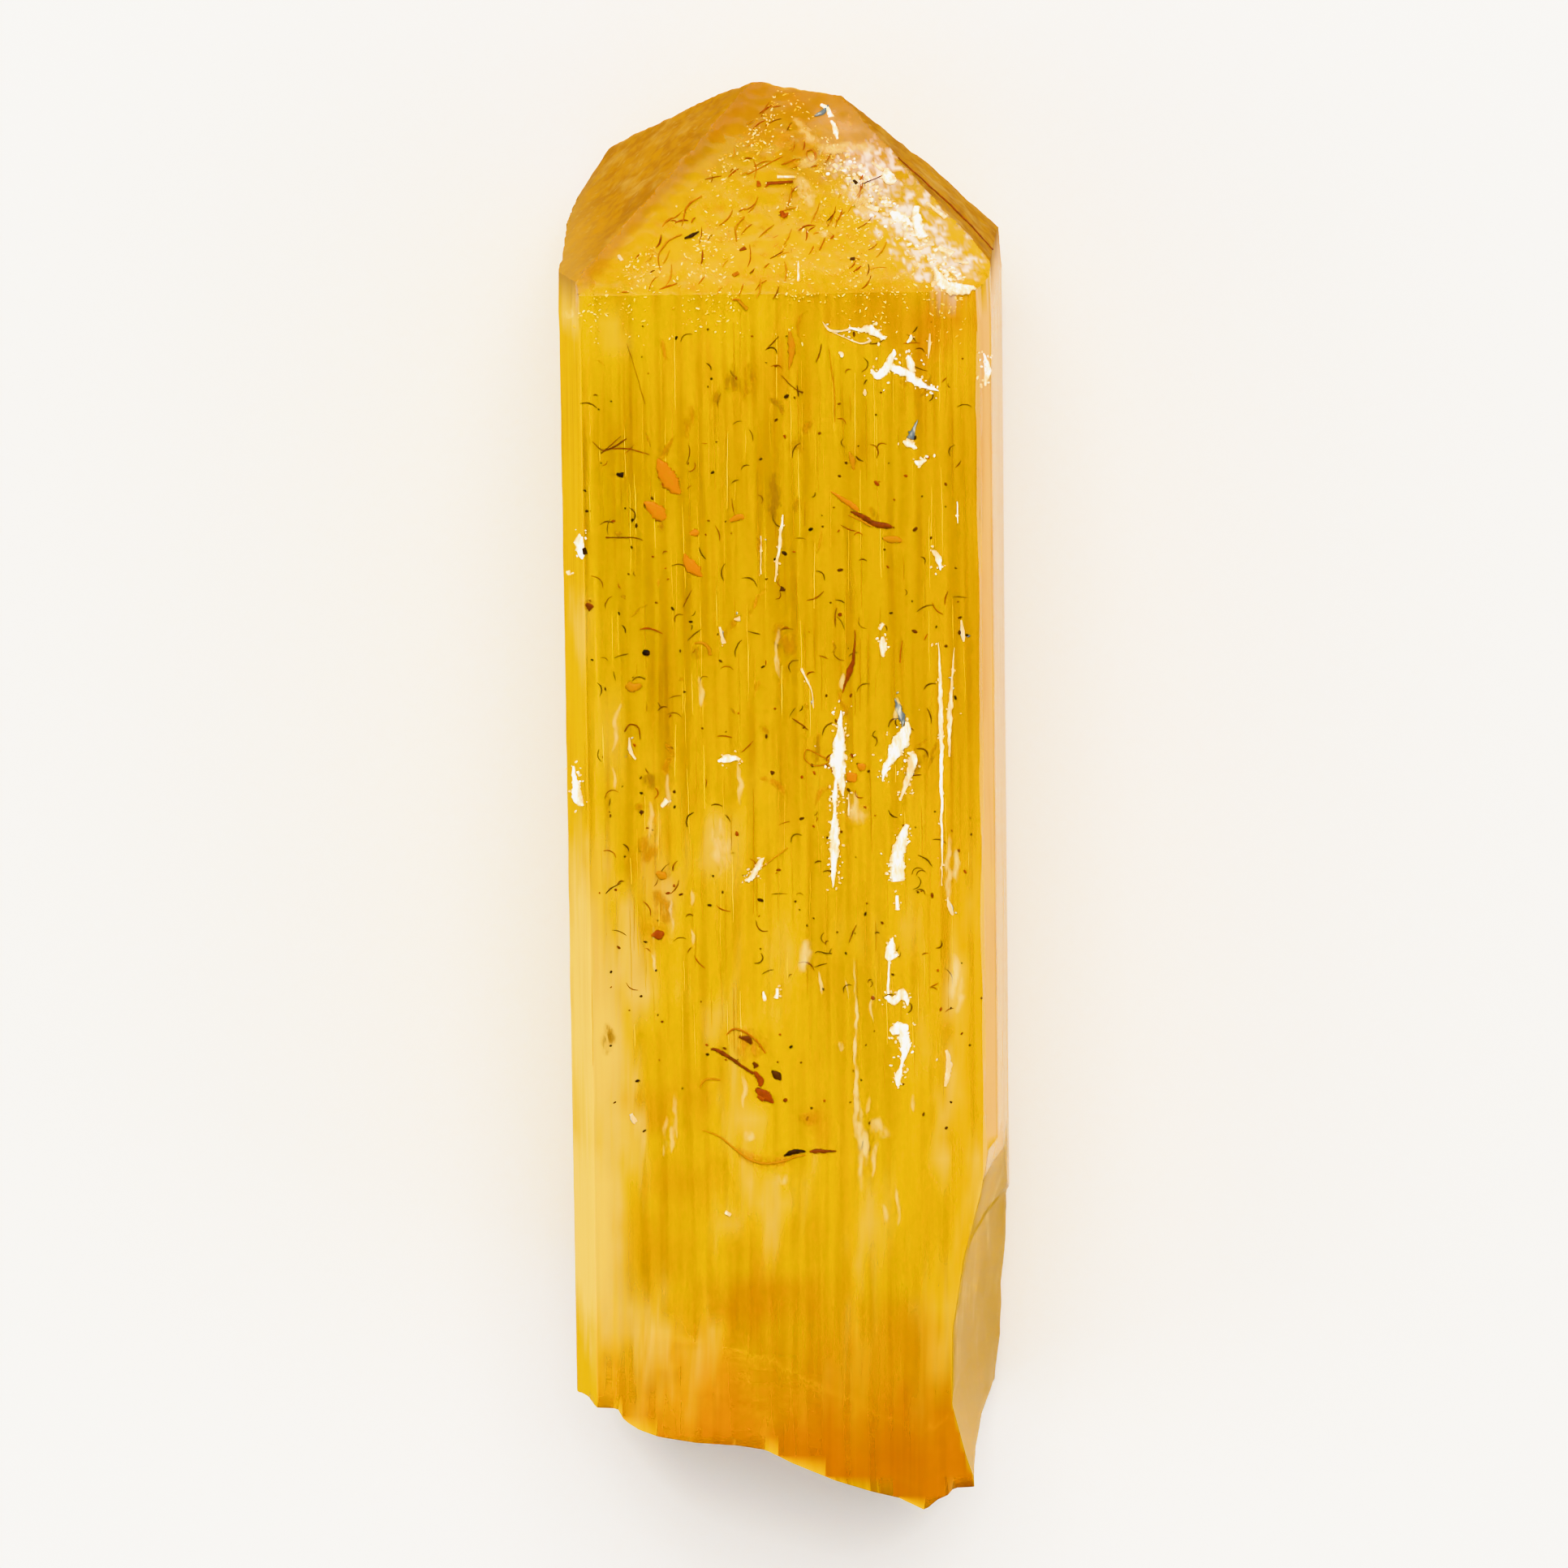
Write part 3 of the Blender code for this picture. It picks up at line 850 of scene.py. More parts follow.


# white marks on the skin: on the front face painted highlights, the glints of the face drawn as frosted
# chips and scrapes, and on the end face real etching; a low tone is a painted grey shadow, a high one is
# bright
glintsAndEtching = {
    "mottleScale": 7.0, "mottleLength": 0.3, "mottle": 1.5, "bumpHeight": 0.02 * mm, "roughness": 0.55,
    "opacity": 1.0, "edgeTone": 0.3,
    "stops": (
        (0.0, (0.10, 0.12, 0.12)), (0.25, (0.45, 0.42, 0.34)), (0.5, (0.90, 0.60, 0.22)),
        (0.78, (0.95, 0.84, 0.55)), (0.97, (0.98, 0.96, 0.92)),
    ),
}
glintAndEtchShape = {
    "Fullness": 1.35, "Thickness": 0.03 * mm, "Ragged": 2.6, "Grain": 6.0, "Wander": 0.08 * mm,
    "Step": 0.035 * mm, "Sides": 12,
}
# painted highlights: the glints on the front face as white strokes, with painted grey shadow where the tone
# is low
glintStrokes = (
    (0.95, (1.63, 12.48, 0.02), (1.91, 12.41, 0.04), (2.11, 12.44, 0.07), (2.27, 12.34, 0.07),
     (2.53, 12.17, 0.012)),
    (0.5, (0.98, 12.63, 0.008), (1.16, 12.42, 0.024), (1.51, 12.4, 0.02), (1.69, 12.47, 0.016)),
    (0.6, (1.24, 12.36, 0.008), (1.9, 12.06, 0.016), (2.17, 12.15, 0.024)),
    (1, (2.16, 11.41, 0.016), (2.3, 11.26, 0.07), (2.46, 11.35, 0.08), (2.71, 11.75, 0.05),
     (2.73, 11.92, 0.008)),
    (1, (2.6, 11.51, 0.05), (2.86, 11.37, 0.08), (3.1, 11.29, 0.07), (3.3, 11.09, 0.08),
     (3.83, 10.84, 0.008)), (0.8, (3.07, 11.77, 0.016), (3.15, 11.56, 0.06), (3.17, 11.34, 0.07)),
    (0.9, (3.17, 12.28, 0.01), (3.16, 12.15, 0.04), (3.07, 12.09, 0.016)),
    (0.45, (3.62, 12.29, 0.016), (3.61, 11.99, 0.028), (3.6, 11.68, 0.012)),
    (0.8, (1.35, 11.86, 0.016), (1.42, 11.81, 0.04), (1.44, 11.73, 0.016)),
    (0.6, (2.01, 10.92, 0.016), (2.01, 10.82, 0.04), (2, 10.74, 0.012)),
    (0.1, (3.3, 10.13, 0.006), (3.13, 9.66, 0.07)),
    (0.95, (2.95, 9.6, 0.016), (3.11, 9.53, 0.06), (3.28, 9.42, 0.016)),
    (0.9, (3.22, 9.09, 0.016), (3.34, 9.04, 0.06), (3.51, 9.1, 0.016)),
    (0.95, (4.26, 8.05, 0.008), (4.28, 7.51, 0.012)),
    (0.8, (3.65, 6.82, 0.016), (3.79, 6.62, 0.06), (3.84, 6.33, 0.01)),
    (1, (4.98, 11.76, 0.012), (5.04, 11.31, 0.07), (5, 10.93, 0.016)),
    (0.75, (2.41, 4.99, 0.027), (2.31, 4.83, 0.04)),
    (0.8, (2.38, 4.65, 0.03), (2.38, 4.42, 0.06), (2.38, 4.14, 0.027)),
    (0.85, (3.77, 4.49, 0.007), (3.81, 2.47, 0.04), (3.8, -1.73, 0.007)),
    (0.6, (4.17, 4.35, 0.007), (4.07, 3.11, 0.027), (4.05, 2.74, 0.05), (4.01, 1.59, 0.014)),
    (0.5, (4.34, 5.04, 0.014), (4.37, 4.67, 0.04), (4.39, 4.51, 0.018)),
    (0.1, (2.67, 3.08, 0.011), (2.76, 2.81, 0.06), (2.88, 2.51, 0.05), (2.84, 2.34, 0.014)),
    (0.95, (2.98, 2.48, 0.03), (2.9, 2.16, 0.12), (2.75, 1.89, 0.13), (2.42, 1.29, 0.06),
     (2.34, 0.97, 0.009)), (0.75, (2.95, 1.7, 0.014), (3.1, 1.47, 0.08), (2.77, 0.47, 0.018)),
    (1, (1.31, 2.78, 0.007), (1.25, 1.86, 0.11), (1.24, 1.4, 0.13), (1.34, 0.59, 0.018)),
    (0.9, (1.17, 1.03, 0.023), (1.14, 0.57, 0.04), (1.13, 0.2, 0.027), (1.13, -0.54, 0.09),
     (1.06, -1.74, 0.011)), (0.6, (1.48, 0.63, 0.009), (1.48, 0.1, 0.016)),
    (0.9, (2.95, -0.15, 0.04), (2.72, -0.84, 0.12), (2.67, -1.21, 0.14), (2.69, -1.6, 0.12)),
    (0.95, (2.68, -1.97, 0.023), (2.68, -2.33, 0.04)),
    (0.6, (3.94, -2.03, 0.014), (4.02, -2.36, 0.05), (4.06, -2.5, 0.018)),
    (1, (2.56, -3.06, 0.011), (2.5, -3.29, 0.08), (2.46, -3.52, 0.09), (2.65, -3.5, 0.023)),
    (0.9, (2.46, -3.64, 0.018), (2.43, -4.48, 0.025)),
    (0.85, (2.4, -4.54, 0.03), (2.56, -4.71, 0.06), (2.76, -4.48, 0.06), (2.86, -4.64, 0.06),
     (2.9, -4.81, 0.014)), (1, (2.48, -5.5, 0.07), (2.75, -5.39, 0.12), (2.91, -5.37, 0.05)),
    (1, (2.8, -5.5, 0.1), (2.83, -5.85, 0.09), (2.75, -6.32, 0.027), (2.67, -6.55, 0.06),
     (2.64, -6.79, 0.05), (2.63, -6.89, 0.014)),
    (0.55, (3.87, -5.98, 0.023), (3.92, -6.43, 0.06), (3.84, -6.9, 0.023)),
    (1, (-5.14, 7.36, 0.02), (-5.14, 7.15, 0.08), (-5.09, 6.87, 0.07), (-5.08, 6.75, 0.015)),
    (0.8, (-5.45, 6.39, 0.04), (-5.42, 6.29, 0.03)),
    (0.7, (-0.28, 6.09, 0.01), (-0.16, 7.09, 0.03), (-0.07, 7.76, 0.013)),
    (0.5, (-0.62, 7.25, 0.01), (-0.63, 6.27, 0.01)), (0.5, (-1.32, 5.15, 0.015), (-1.16, 5.15, 0.05)),
    (1, (-5.41, 1.43, 0.02), (-5.31, 0.65, 0.09), (-5.17, 0.44, 0.02)),
    (0.95, (-1.78, 1.53, 0.025), (-1.55, 1.56, 0.07), (-1.35, 1.6, 0.05), (-1.2, 1.58, 0.01)),
    (0.6, (0.34, 3.86, 0.025), (0.58, 3.32, 0.013), (0.65, 2.85, 0.01)),
    (0.75, (-1.15, -1.55, 0.03), (-0.95, -1.44, 0.05), (-0.76, -1.1, 0.05), (-0.64, -0.97, 0.013)),
    (0.55, (-1.67, 4.95, 0.025), (-1.6, 4.53, 0.04)),
    (0.55, (-3.99, 2.16, 0.013), (-3.95, 1.82, 0.04), (-3.83, 1.6, 0.02)),
    (0.7, (-3.21, 0.39, 0.03), (-3.05, 0.54, 0.06)), (0.85, (-0.71, -4.42, 0.015), (-0.68, -4.64, 0.04)),
    (0.85, (-0.37, -4.32, 0.02), (-0.39, -4.58, 0.05)), (0.6, (-4.09, -7.52, 0.04), (-4, -7.73, 0.05)),
    (0.6, (-1.75, -10.11, 0.04), (-1.63, -10.19, 0.04)),
)
etchedStrokes = (
    (0.9, (2.62, 16, 0.05), (2.68, 15.8, 0.12), (2.85, 15.71, 0.05)),
    (0.8, (2.13, 15.19, 0.027), (2.43, 15.13, 0.07)),
    (1, (2.73, 15.07, 0.04), (2.9, 14.98, 0.12), (3.1, 14.89, 0.07)),
    (0.95, (3.36, 15.18, 0.05), (3.38, 14.78, 0.09), (3.53, 14.51, 0.09)),
    (0.85, (3.78, 13.88, 0.02), (4.03, 13.5, 0.12), (4.47, 13.41, 0.12), (4.74, 13.44, 0.04)),
    (0.7, (3.89, 14.31, 0.07), (4.22, 14.16, 0.08)), (0.7, (3.61, 15.26, 0.027), (4.08, 14.94, 0.04)),
    (0.7, (2.28, 16.15, 0.027), (2.55, 15.97, 0.05)),
    (0.9, (1.02, 17.41, 0.03), (1.19, 17.31, 0.05), (1.27, 17.13, 0.05)),
    (0.9, (1.28, 17.04, 0.027), (1.35, 16.86, 0.05), (1.42, 16.66, 0.02)),
    (0.05, (0.85, 17.16, 0.014), (1.07, 17.25, 0.05), (1.2, 17.39, 0.017)),
    (0.75, (-0.12, 15.86, 0.03), (0.32, 15.85, 0.02)), (0.6, (-4.08, 14.22, 0.02), (-3.99, 14.11, 0.05)),
    (0.8, (0.39, 14.06, 0.014), (0.39, 13.63, 0.027)), (0.7, (4.28, 14.02, 0.027), (4.62, 13.95, 0.03)),
)
# painted glints on the front face, and etched marks on the end
glintAndEtchGroups = (("front", 0.015, glintStrokes), ("end", 0.03, etchedStrokes))
inlay("surfaceScars", tonedMaterial("scarWhite", glintsAndEtching), glintAndEtchShape, glintAndEtchGroups)

# rusty veins, flakes and dark minerals: black at tone 0, brown, red-brown, tan, and orange at 1
veins = {
    "mottleScale": 9.0, "mottleLength": 1.0, "mottle": 0.4, "bumpHeight": 0.02 * mm, "roughness": 0.5,
    "opacity": 1.0, "edgeTone": 0.0,
    "stops": (
        (0.0, (0.010, 0.006, 0.003)), (0.25, (0.07, 0.020, 0.003)), (0.5, (0.26, 0.040, 0.002)),
        (0.72, (0.38, 0.16, 0.004)), (0.95, (0.44, 0.135, 0.0)),
    ),
}
veinShape = {
    "Fullness": 1.75, "Thickness": 0.025 * mm, "Ragged": 2.0, "Grain": 8.0, "Wander": 0.06 * mm,
    "Step": 0.04 * mm, "Sides": 10,
}
veinStrokes = (
    (0.9, (1.14, 8.34, 0.008), (1.62, 8.01, 0.04), (1.8, 7.85, 0.024)),
    (0.35, (1.62, 7.84, 0.012), (1.92, 7.71, 0.04), (2.18, 7.53, 0.04), (2.5, 7.46, 0.04),
     (2.65, 7.43, 0.008)), (0.8, (1.57, 7.76, 0.008), (2.14, 7.46, 0.02)),
    (0.8, (2.42, 7.13, 0.02), (2.66, 7.12, 0.06), (2.88, 7.07, 0.016)),
    (0.75, (1.59, 9.35, 0.008), (1.67, 9.13, 0.04), (1.69, 8.9, 0.012)),
    (0.4, (1.69, 4.84, 0.007), (1.64, 4.08, 0.023), (1.54, 3.79, 0.04), (1.37, 3.24, 0.007)),
    (0.55, (2.87, 4.55, 0.007), (2.81, 3.98, 0.009)),
    (0.93, (1.46, 1.19, 0.014), (1.57, 1.08, 0.08), (1.66, 0.97, 0.023)),
    (0.9, (1.71, 1.4, 0.018), (1.84, 1.32, 0.06), (1.88, 1.27, 0.018)),
    (0.6, (0.38, 1.57, 0.007), (0.4, 1.73, 0.007), (0.51, 1.79, 0.007), (0.98, 1.53, 0.009),
     (0.97, 1.45, 0.007), (0.75, 1.38, 0.007), (0.55, 1.41, 0.007), (0.38, 1.57, 0.007)),
    (0.35, (-3.88, 12.14, 0.004), (-3.45, 10.61, 0.004)),
    (0.93, (-3.16, 9.23, 0.013), (-3.08, 9.05, 0.08), (-2.94, 8.77, 0.11), (-2.77, 8.5, 0.1),
     (-2.62, 8.34, 0.013)),
    (0.93, (-3.53, 8.14, 0.013), (-3.3, 7.98, 0.09), (-3.08, 7.79, 0.09), (-2.97, 7.73, 0.015)),
    (0.9, (-2.39, 7.31, 0.03), (-2.23, 7.35, 0.06), (-2.17, 7.35, 0.015)),
    (0.93, (-2.54, 6.82, 0.013), (-2.44, 6.6, 0.07), (-2.29, 6.4, 0.08), (-2.11, 6.25, 0.013)),
    (0, (-4.2, 8.86, 0.02), (-4.03, 8.83, 0.04)), (0.1, (-5.03, 7, 0.03), (-4.99, 6.85, 0.04)),
    (0.35, (-5.01, 5.58, 0.03), (-4.87, 5.45, 0.06)),
    (0.8, (0.14, 12.38, 0.02), (0.19, 12, 0.05), (0.13, 11.44, 0.01)),
    (0.85, (-1.39, 7.63, 0.02), (-1.15, 7.76, 0.05), (-1.05, 7.69, 0.013)),
    (0.2, (-0.16, 5.91, 0.04), (-0.03, 5.87, 0.02)),
    (0.3, (-4.78, 9.69, 0.005), (-4.55, 9.48, 0.008), (-4.28, 9.53, 0.013), (-3.92, 9.75, 0.008)),
    (0.3, (-4.57, 9.39, 0.008), (-4.07, 9.81, 0.005)),
    (0.4, (-4.27, 9.5, 0.008), (-3.85, 9.49, 0.008), (-3.37, 9.33, 0.005)),
    (0.3, (-4.49, 7.26, 0.008), (-3.81, 7.24, 0.008), (-3.57, 7.17, 0.005)),
    (0.3, (-0.07, 11.29, 0.005), (0.23, 10.98, 0.008), (0.46, 10.85, 0.013)),
    (0.7, (1.12, 11.94, 0.005), (1.25, 10.81, 0.01), (1.25, 10.1, 0.005)),
    (0, (-3.61, 4.36, 0.025), (-3.53, 4.31, 0.05), (-3.46, 4.26, 0.02)),
    (0.7, (-2.32, 4.54, 0.01), (-2.14, 4.55, 0.023), (-1.98, 4.41, 0.025), (-1.93, 4.24, 0.025)),
    (0.45, (-3.67, 4.92, 0.008), (-3.41, 4.93, 0.013), (-3.11, 4.8, 0.008)),
    (0.75, (-4.02, 3.53, 0.05), (-3.86, 3.42, 0.06), (-3.66, 3.5, 0.03)),
    (0.15, (-3.74, 0.27, 0.025), (-3.67, 0.22, 0.04)),
    (0.8, (-3.36, -1.31, 0.025), (-3.23, -1.38, 0.06), (-3.13, -1.44, 0.02)),
    (0.5, (-3.51, -2.91, 0.015), (-3.3, -2.89, 0.07), (-3.18, -2.87, 0.02)),
    (0.7, (-0.74, -1.23, 0.008), (-0.06, -0.71, 0.008)),
    (0.35, (-4.1, 2.32, 0.008), (-3.96, 2.5, 0.01), (-3.76, 2.42, 0.01), (-3.71, 2.13, 0.008)),
    (0.35, (-2.06, -5.87, 0.01), (-1.82, -5.94, 0.025), (-0.98, -6.52, 0.02)),
    (0.3, (-0.99, -6.22, 0.02), (-0.91, -6.36, 0.04)),
    (0.2, (-0.52, -6.44, 0.02), (-0.4, -6.56, 0.06), (-0.3, -6.68, 0.015)),
    (0.45, (-0.98, -6.48, 0.02), (-0.8, -6.7, 0.05), (-0.84, -6.84, 0.02)),
    (0.45, (-0.95, -6.92, 0.02), (-0.76, -7.04, 0.07), (-0.61, -7.16, 0.06), (-0.5, -7.28, 0.013)),
    (0.5, (-0.9, -7.1, 0.02), (-0.74, -7.2, 0.04)),
    (0.3, (-1.31, -5.59, 0.015), (-1.12, -5.62, 0.05), (-1.04, -5.75, 0.02)),
    (0.75, (-2.31, -7.97, 0.005), (-1.85, -8.16, 0.01), (-1.19, -8.69, 0.015), (-0.78, -8.84, 0.018),
     (-0.37, -8.81, 0.018), (0.29, -8.63, 0.01)),
    (0.05, (-0.25, -8.66, 0.012), (0, -8.57, 0.04), (0.3, -8.55, 0.01)),
    (0.35, (0.4, -8.54, 0.01), (0.6, -8.54, 0.03), (1.08, -8.55, 0.01)),
    (0.7, (-2.34, -6.86, 0.008), (-2.19, -6.65, 0.013), (-1.83, -6.66, 0.01)),
    (0.6, (-1.66, -5.5, 0.008), (-1.4, -5.35, 0.013), (-0.95, -5.62, 0.015), (-0.69, -5.99, 0.013)),
)
pyramidVeinStrokes = (
    (0.1, (-2.44, 14.56, 0.014), (-2.26, 14.62, 0.027), (-2.08, 14.7, 0.01)),
    (0.4, (-1.07, 14.29, 0.014), (-0.92, 14.35, 0.04)),
    (0.5, (-0.01, 15.11, 0.027), (0.05, 15.01, 0.04), (0.15, 15.08, 0.017)),
    (0.55, (-0.58, 15.76, 0.024), (-0.56, 15.64, 0.03)), (0.4, (-0.38, 15.71, 0.027), (0.29, 15.75, 0.017)),
    (0.1, (1.82, 15.76, 0.02), (1.89, 15.68, 0.03)), (0.2, (1.67, 14.08, 0.02), (1.79, 14.08, 0.03)),
    (0.6, (0.64, 16.39, 0.014), (0.79, 16.41, 0.014), (0.85, 16.27, 0.02), (0.76, 16.16, 0.014),
     (0.64, 16.26, 0.01), (0.63, 16.37, 0.01)),
    (0.6, (-2.5, 14.84, 0.007), (-2.36, 15.24, 0.014), (-1.99, 15.47, 0.007)),
    (0.65, (-3.03, 13.87, 0.007), (-3.08, 14.2, 0.01), (-2.85, 14.5, 0.014), (-2.51, 14.65, 0.01)),
    (0.65, (-1.14, 14.49, 0.01), (-1.16, 14.76, 0.014), (-0.94, 15.01, 0.01)),
    (0.55, (-0.87, 15.91, 0.007), (0.03, 16.29, 0.007)), (0.6, (-1.23, 13.76, 0.027), (-1.09, 13.82, 0.03)),
    (0.3, (1.97, 15.66, 0.007), (2.58, 15.87, 0.007)), (0.7, (-1.1, 13.21, 0.017), (-0.9, 12.98, 0.03)),
    (0.4, (2.93, 16.23, 0.01), (4.38, 15.05, 0.014), (5.23, 14.24, 0.01)),
)

# fine hairs of lint and stain, scattered by a fixed seed
hairs = {
    "number": 200, "across": (-4.8, 4.3), "along": (-5.0, 12.4), "length": (0.12, 0.5),
    "half": (0.005, 0.010), "tone": (0.1, 0.45), "heading": (0.0, math.pi), "bend": 0.9, "seed": 11,
}
endHairs = {
    "number": 170, "across": (-4.6, 2.4), "along": (13.2, 17.4), "length": (0.12, 0.5),
    "half": (0.006, 0.013), "tone": (0.3, 0.8), "heading": (0.2, 1.4), "bend": 0.35, "seed": 12,
}
clearance = {"spall": 0.4, "peak": (0.1, 17.9), "ridgeSlope": 1.04}


# clear of the spall and of the end face's ridges
def inSight(x, y):
    peakX, peakY = clearance["peak"]
    onFront = x < follow(spalling["inner"], y) - clearance["spall"]
    return onFront and abs(x - peakX) < (peakY - y) * clearance["ridgeSlope"]


# one number drawn from each of a look's named ranges, in turn
def draw(pick, look, *names):
    drawn = [pick.uniform(*look[name]) for name in names]
    return drawn if len(drawn) > 1 else drawn[0]


def scatterHairs(look):
    pick = random.Random(look["seed"])
    strokes = []
    for number in range(look["number"]):
        x, y, heading = draw(pick, look, "across", "along", "heading")
        turn = pick.uniform(-1.0, 1.0) * look["bend"]
        step = draw(pick, look, "length") / 3
        half, line = draw(pick, look, "half"), []
        for part in range(4):
            line.append((x, y, half * (0.5 if part in (0, 3) else 1.0)))
            x, y = x + step * math.cos(heading), y + step * math.sin(heading)
            heading += turn
        if inSight(x, y):
            strokes.append((draw(pick, look, "tone"), *line))
    return strokes


veinGroups = (
    ("front", 0.0, veinStrokes), ("end", 0.02, pyramidVeinStrokes),
    ("front", 0.02, scatterHairs(hairs)), ("end", 0.03, scatterHairs(endHairs)),
)
inlay("rustVeins", tonedMaterial("rustVein", veins), veinShape, veinGroups)

# soft films on the skin: olive at tone 0, brown, orange, peach, and cream at 1
blooms = {
    "mottleScale": 5.0, "mottleLength": 0.3, "mottle": 0.3, "bumpHeight": 0.005 * mm, "roughness": 0.7,
    "opacity": 0.42, "edgeTone": 0.0,
    "stops": (
        (0.0, (0.28, 0.13, 0.005)), (0.25, (0.36, 0.16, 0.004)), (0.5, (0.52, 0.21, 0.003)),
        (0.75, (0.86, 0.58, 0.16)), (0.95, (0.92, 0.76, 0.38)),
    ),
}
bloomShape = {
    "Fullness": 2.1, "Thickness": 0.012 * mm, "Ragged": 2.8, "Grain": 3.6, "Wander": 0.3 * mm,
    "Step": 0.09 * mm, "Sides": 16,
}
bloomStrokes = (
    (0.85, (3.96, -0.39, 0.023), (3.95, -1.59, 0.06), (3.96, -2.15, 0.03)),
    (0.85, (1.6, 0.66, 0.07), (1.68, 0.24, 0.14), (1.81, -0.18, 0.08)),
    (0.95, (0.37, -3.04, 0.07), (0.38, -3.45, 0.1), (0.31, -3.94, 0.05)),
    (0.95, (4.08, -3.45, 0.04), (4.1, -3.87, 0.09), (4.11, -4.61, 0.1), (4.14, -5.08, 0.03)),
    (0.85, (1.6, -3.84, 0.018), (1.6, -7.01, 0.027), (1.63, -7.57, 0.07), (1.63, -8.5, 0.027)),
    (0.85, (2.05, -7.67, 0.09), (2.22, -8.32, 0.14)), (0.85, (-5.38, 12.99, 0.1), (-5.23, 12.83, 0.05)),
    (0.1, (-1.3, 11.64, 0.01), (-1.29, 11.25, 0.09), (-1.23, 10.95, 0.1), (-1.18, 10.87, 0.02)),
    (0.25, (-0.83, 11.64, 0.01), (-0.85, 11.25, 0.09), (-0.92, 10.97, 0.11), (-1.09, 10.63, 0.01)),
    (0.2, (-1.86, 10.75, 0.1), (-1.59, 10.77, 0.1)),
    (0.05, (-0.26, 8.89, 0.025), (-0.26, 8.17, 0.11), (-0.29, 7.5, 0.02)),
    (0.3, (0.11, 9.6, 0.13), (0.52, 9.59, 0.13)), (0.35, (-5.05, 5.66, 0.08), (-4.92, 5.4, 0.13)),
    (0.35, (-4.07, 3.53, 0.09), (-3.74, 3.37, 0.1)), (0.35, (-4.53, 3.72, 0.1), (-4.5, 3.56, 0.09)),
    (0.1, (-3.73, 1, 0.07), (-3.5, 1.04, 0.12), (-3.24, 0.91, 0.07)),
    (0.3, (-3.81, 0.47, 0.05), (-3.69, 0.24, 0.12)),
    (0.4, (-3.65, -0.34, 0.12), (-3.52, -0.68, 0.13), (-3.61, -1.04, 0.08)),
    (0.45, (-3.28, -1.31, 0.1), (-3.13, -1.46, 0.07)),
    (0.4, (-3.46, -1.72, 0.08), (-3.17, -2.24, 0.15), (-3.1, -2.61, 0.13)),
    (0.8, (-1.84, -0.12, 0.1), (-1.74, -0.59, 0.15), (-1.67, -1.06, 0.12), (-1.64, -1.32, 0.06)),
    (0.3, (-0.2, 5.03, 0.1), (0.05, 4.51, 0.15), (0.07, 4.2, 0.08)),
    (0.25, (-2.28, 4.49, 0.08), (-2.24, 4.1, 0.1)),
    (0.15, (-4.63, -5.12, 0.04), (-4.64, -5.57, 0.1), (-4.67, -6.04, 0.04)),
    (0.5, (-1.56, -5.51, 0.09), (-1.15, -5.77, 0.21), (-0.82, -6.14, 0.18)),
    (0.9, (-1.1, -7.98, 0.06), (-1.06, -8.27, 0.1)), (0.5, (0.38, -7.47, 0.15), (0.46, -7.9, 0.13)),
    (0.9, (1.58, -3.56, 0.02), (1.62, -6.91, 0.04), (1.69, -8.18, 0.09), (1.69, -9.65, 0.04)),
    (0.9, (-0.22, -9.1, 0.1), (-0.28, -9.47, 0.08)),
    (0.5, (-1.49, -8.4, 0.08), (-0.78, -8.83, 0.1), (0.14, -8.66, 0.1)),
)
pyramidBloomStrokes = (
    (0.5, (-0.11, 16.68, 0.1), (0.23, 16.64, 0.17), (0.46, 16.67, 0.07)),
    (0.5, (0.29, 16.06, 0.05), (0.49, 16.06, 0.07)),
    (0.8, (0.42, 15.97, 0.07), (0.97, 16.31, 0.12), (1.65, 16.48, 0.1), (2.32, 16.36, 0.12)),
    (0.8, (0.48, 15.85, 0.08), (0.61, 15.5, 0.12), (0.74, 15.15, 0.05)),
    (0.8, (1.63, 15.61, 0.14), (1.96, 15.25, 0.14), (2.09, 14.91, 0.07)),
    (0.75, (0.3, 17.14, 0.07), (0.77, 16.67, 0.1), (1.31, 16.37, 0.08)),
    (0.85, (0.94, 14.57, 0.08), (1.11, 14.68, 0.06)),
)
paleBlooms = {
    "number": 30, "across": (-4.6, 4.2), "along": (-11.0, 4.5), "length": (0.3, 1.6),
    "half": (0.015, 0.05), "tone": (0.75, 0.9), "heading": (1.45, 1.65), "bend": 0.1, "seed": 41,
}
brownBlooms = {
    "number": 40, "across": (-4.6, 3.6), "along": (0.0, 12.4), "length": (0.15, 0.9),
    "half": (0.02, 0.06), "tone": (0.1, 0.5), "heading": (0.9, 2.2), "bend": 0.5, "seed": 42,
}
bloomGroups = (
    ("front", 0.0, bloomStrokes), ("end", 0.0, pyramidBloomStrokes),
    ("front", 0.0, scatterHairs(paleBlooms)), ("front", 0.0, scatterHairs(brownBlooms)),
)
inlay("skinBlooms", tonedMaterial("softBloom", blooms), bloomShape, bloomGroups)

# thin growth lines scored down the front: brown at tone 0, bright yellow at 1
growthLines = {
    "number": 300, "across": (-5.1, 4.6), "along": (-7.0, 11.0), "length": (0.4, 2.4),
    "half": (0.003, 0.009), "tone": (0.0, 0.8), "heading": (1.55, 1.59), "bend": 0.01, "seed": 31,
}
lineTones = {
    **veins, "mottle": 0.2,
    "stops": (
        (0.0, (0.30, 0.14, 0.003)), (0.55, (0.55, 0.33, 0.005)), (0.65, (0.86, 0.57, 0.01)),
        (1.0, (0.95, 0.76, 0.20)),
    ),
}
lineShape = {**veinShape, "Fullness": 1.2, "Thickness": 0.008 * mm, "Step": 0.25 * mm, "Sides": 6}
lineGroups = (("front", 0.03, scatterHairs(growthLines)),)
inlay("growthLines", tonedMaterial("growthLine", lineTones), lineShape, lineGroups)


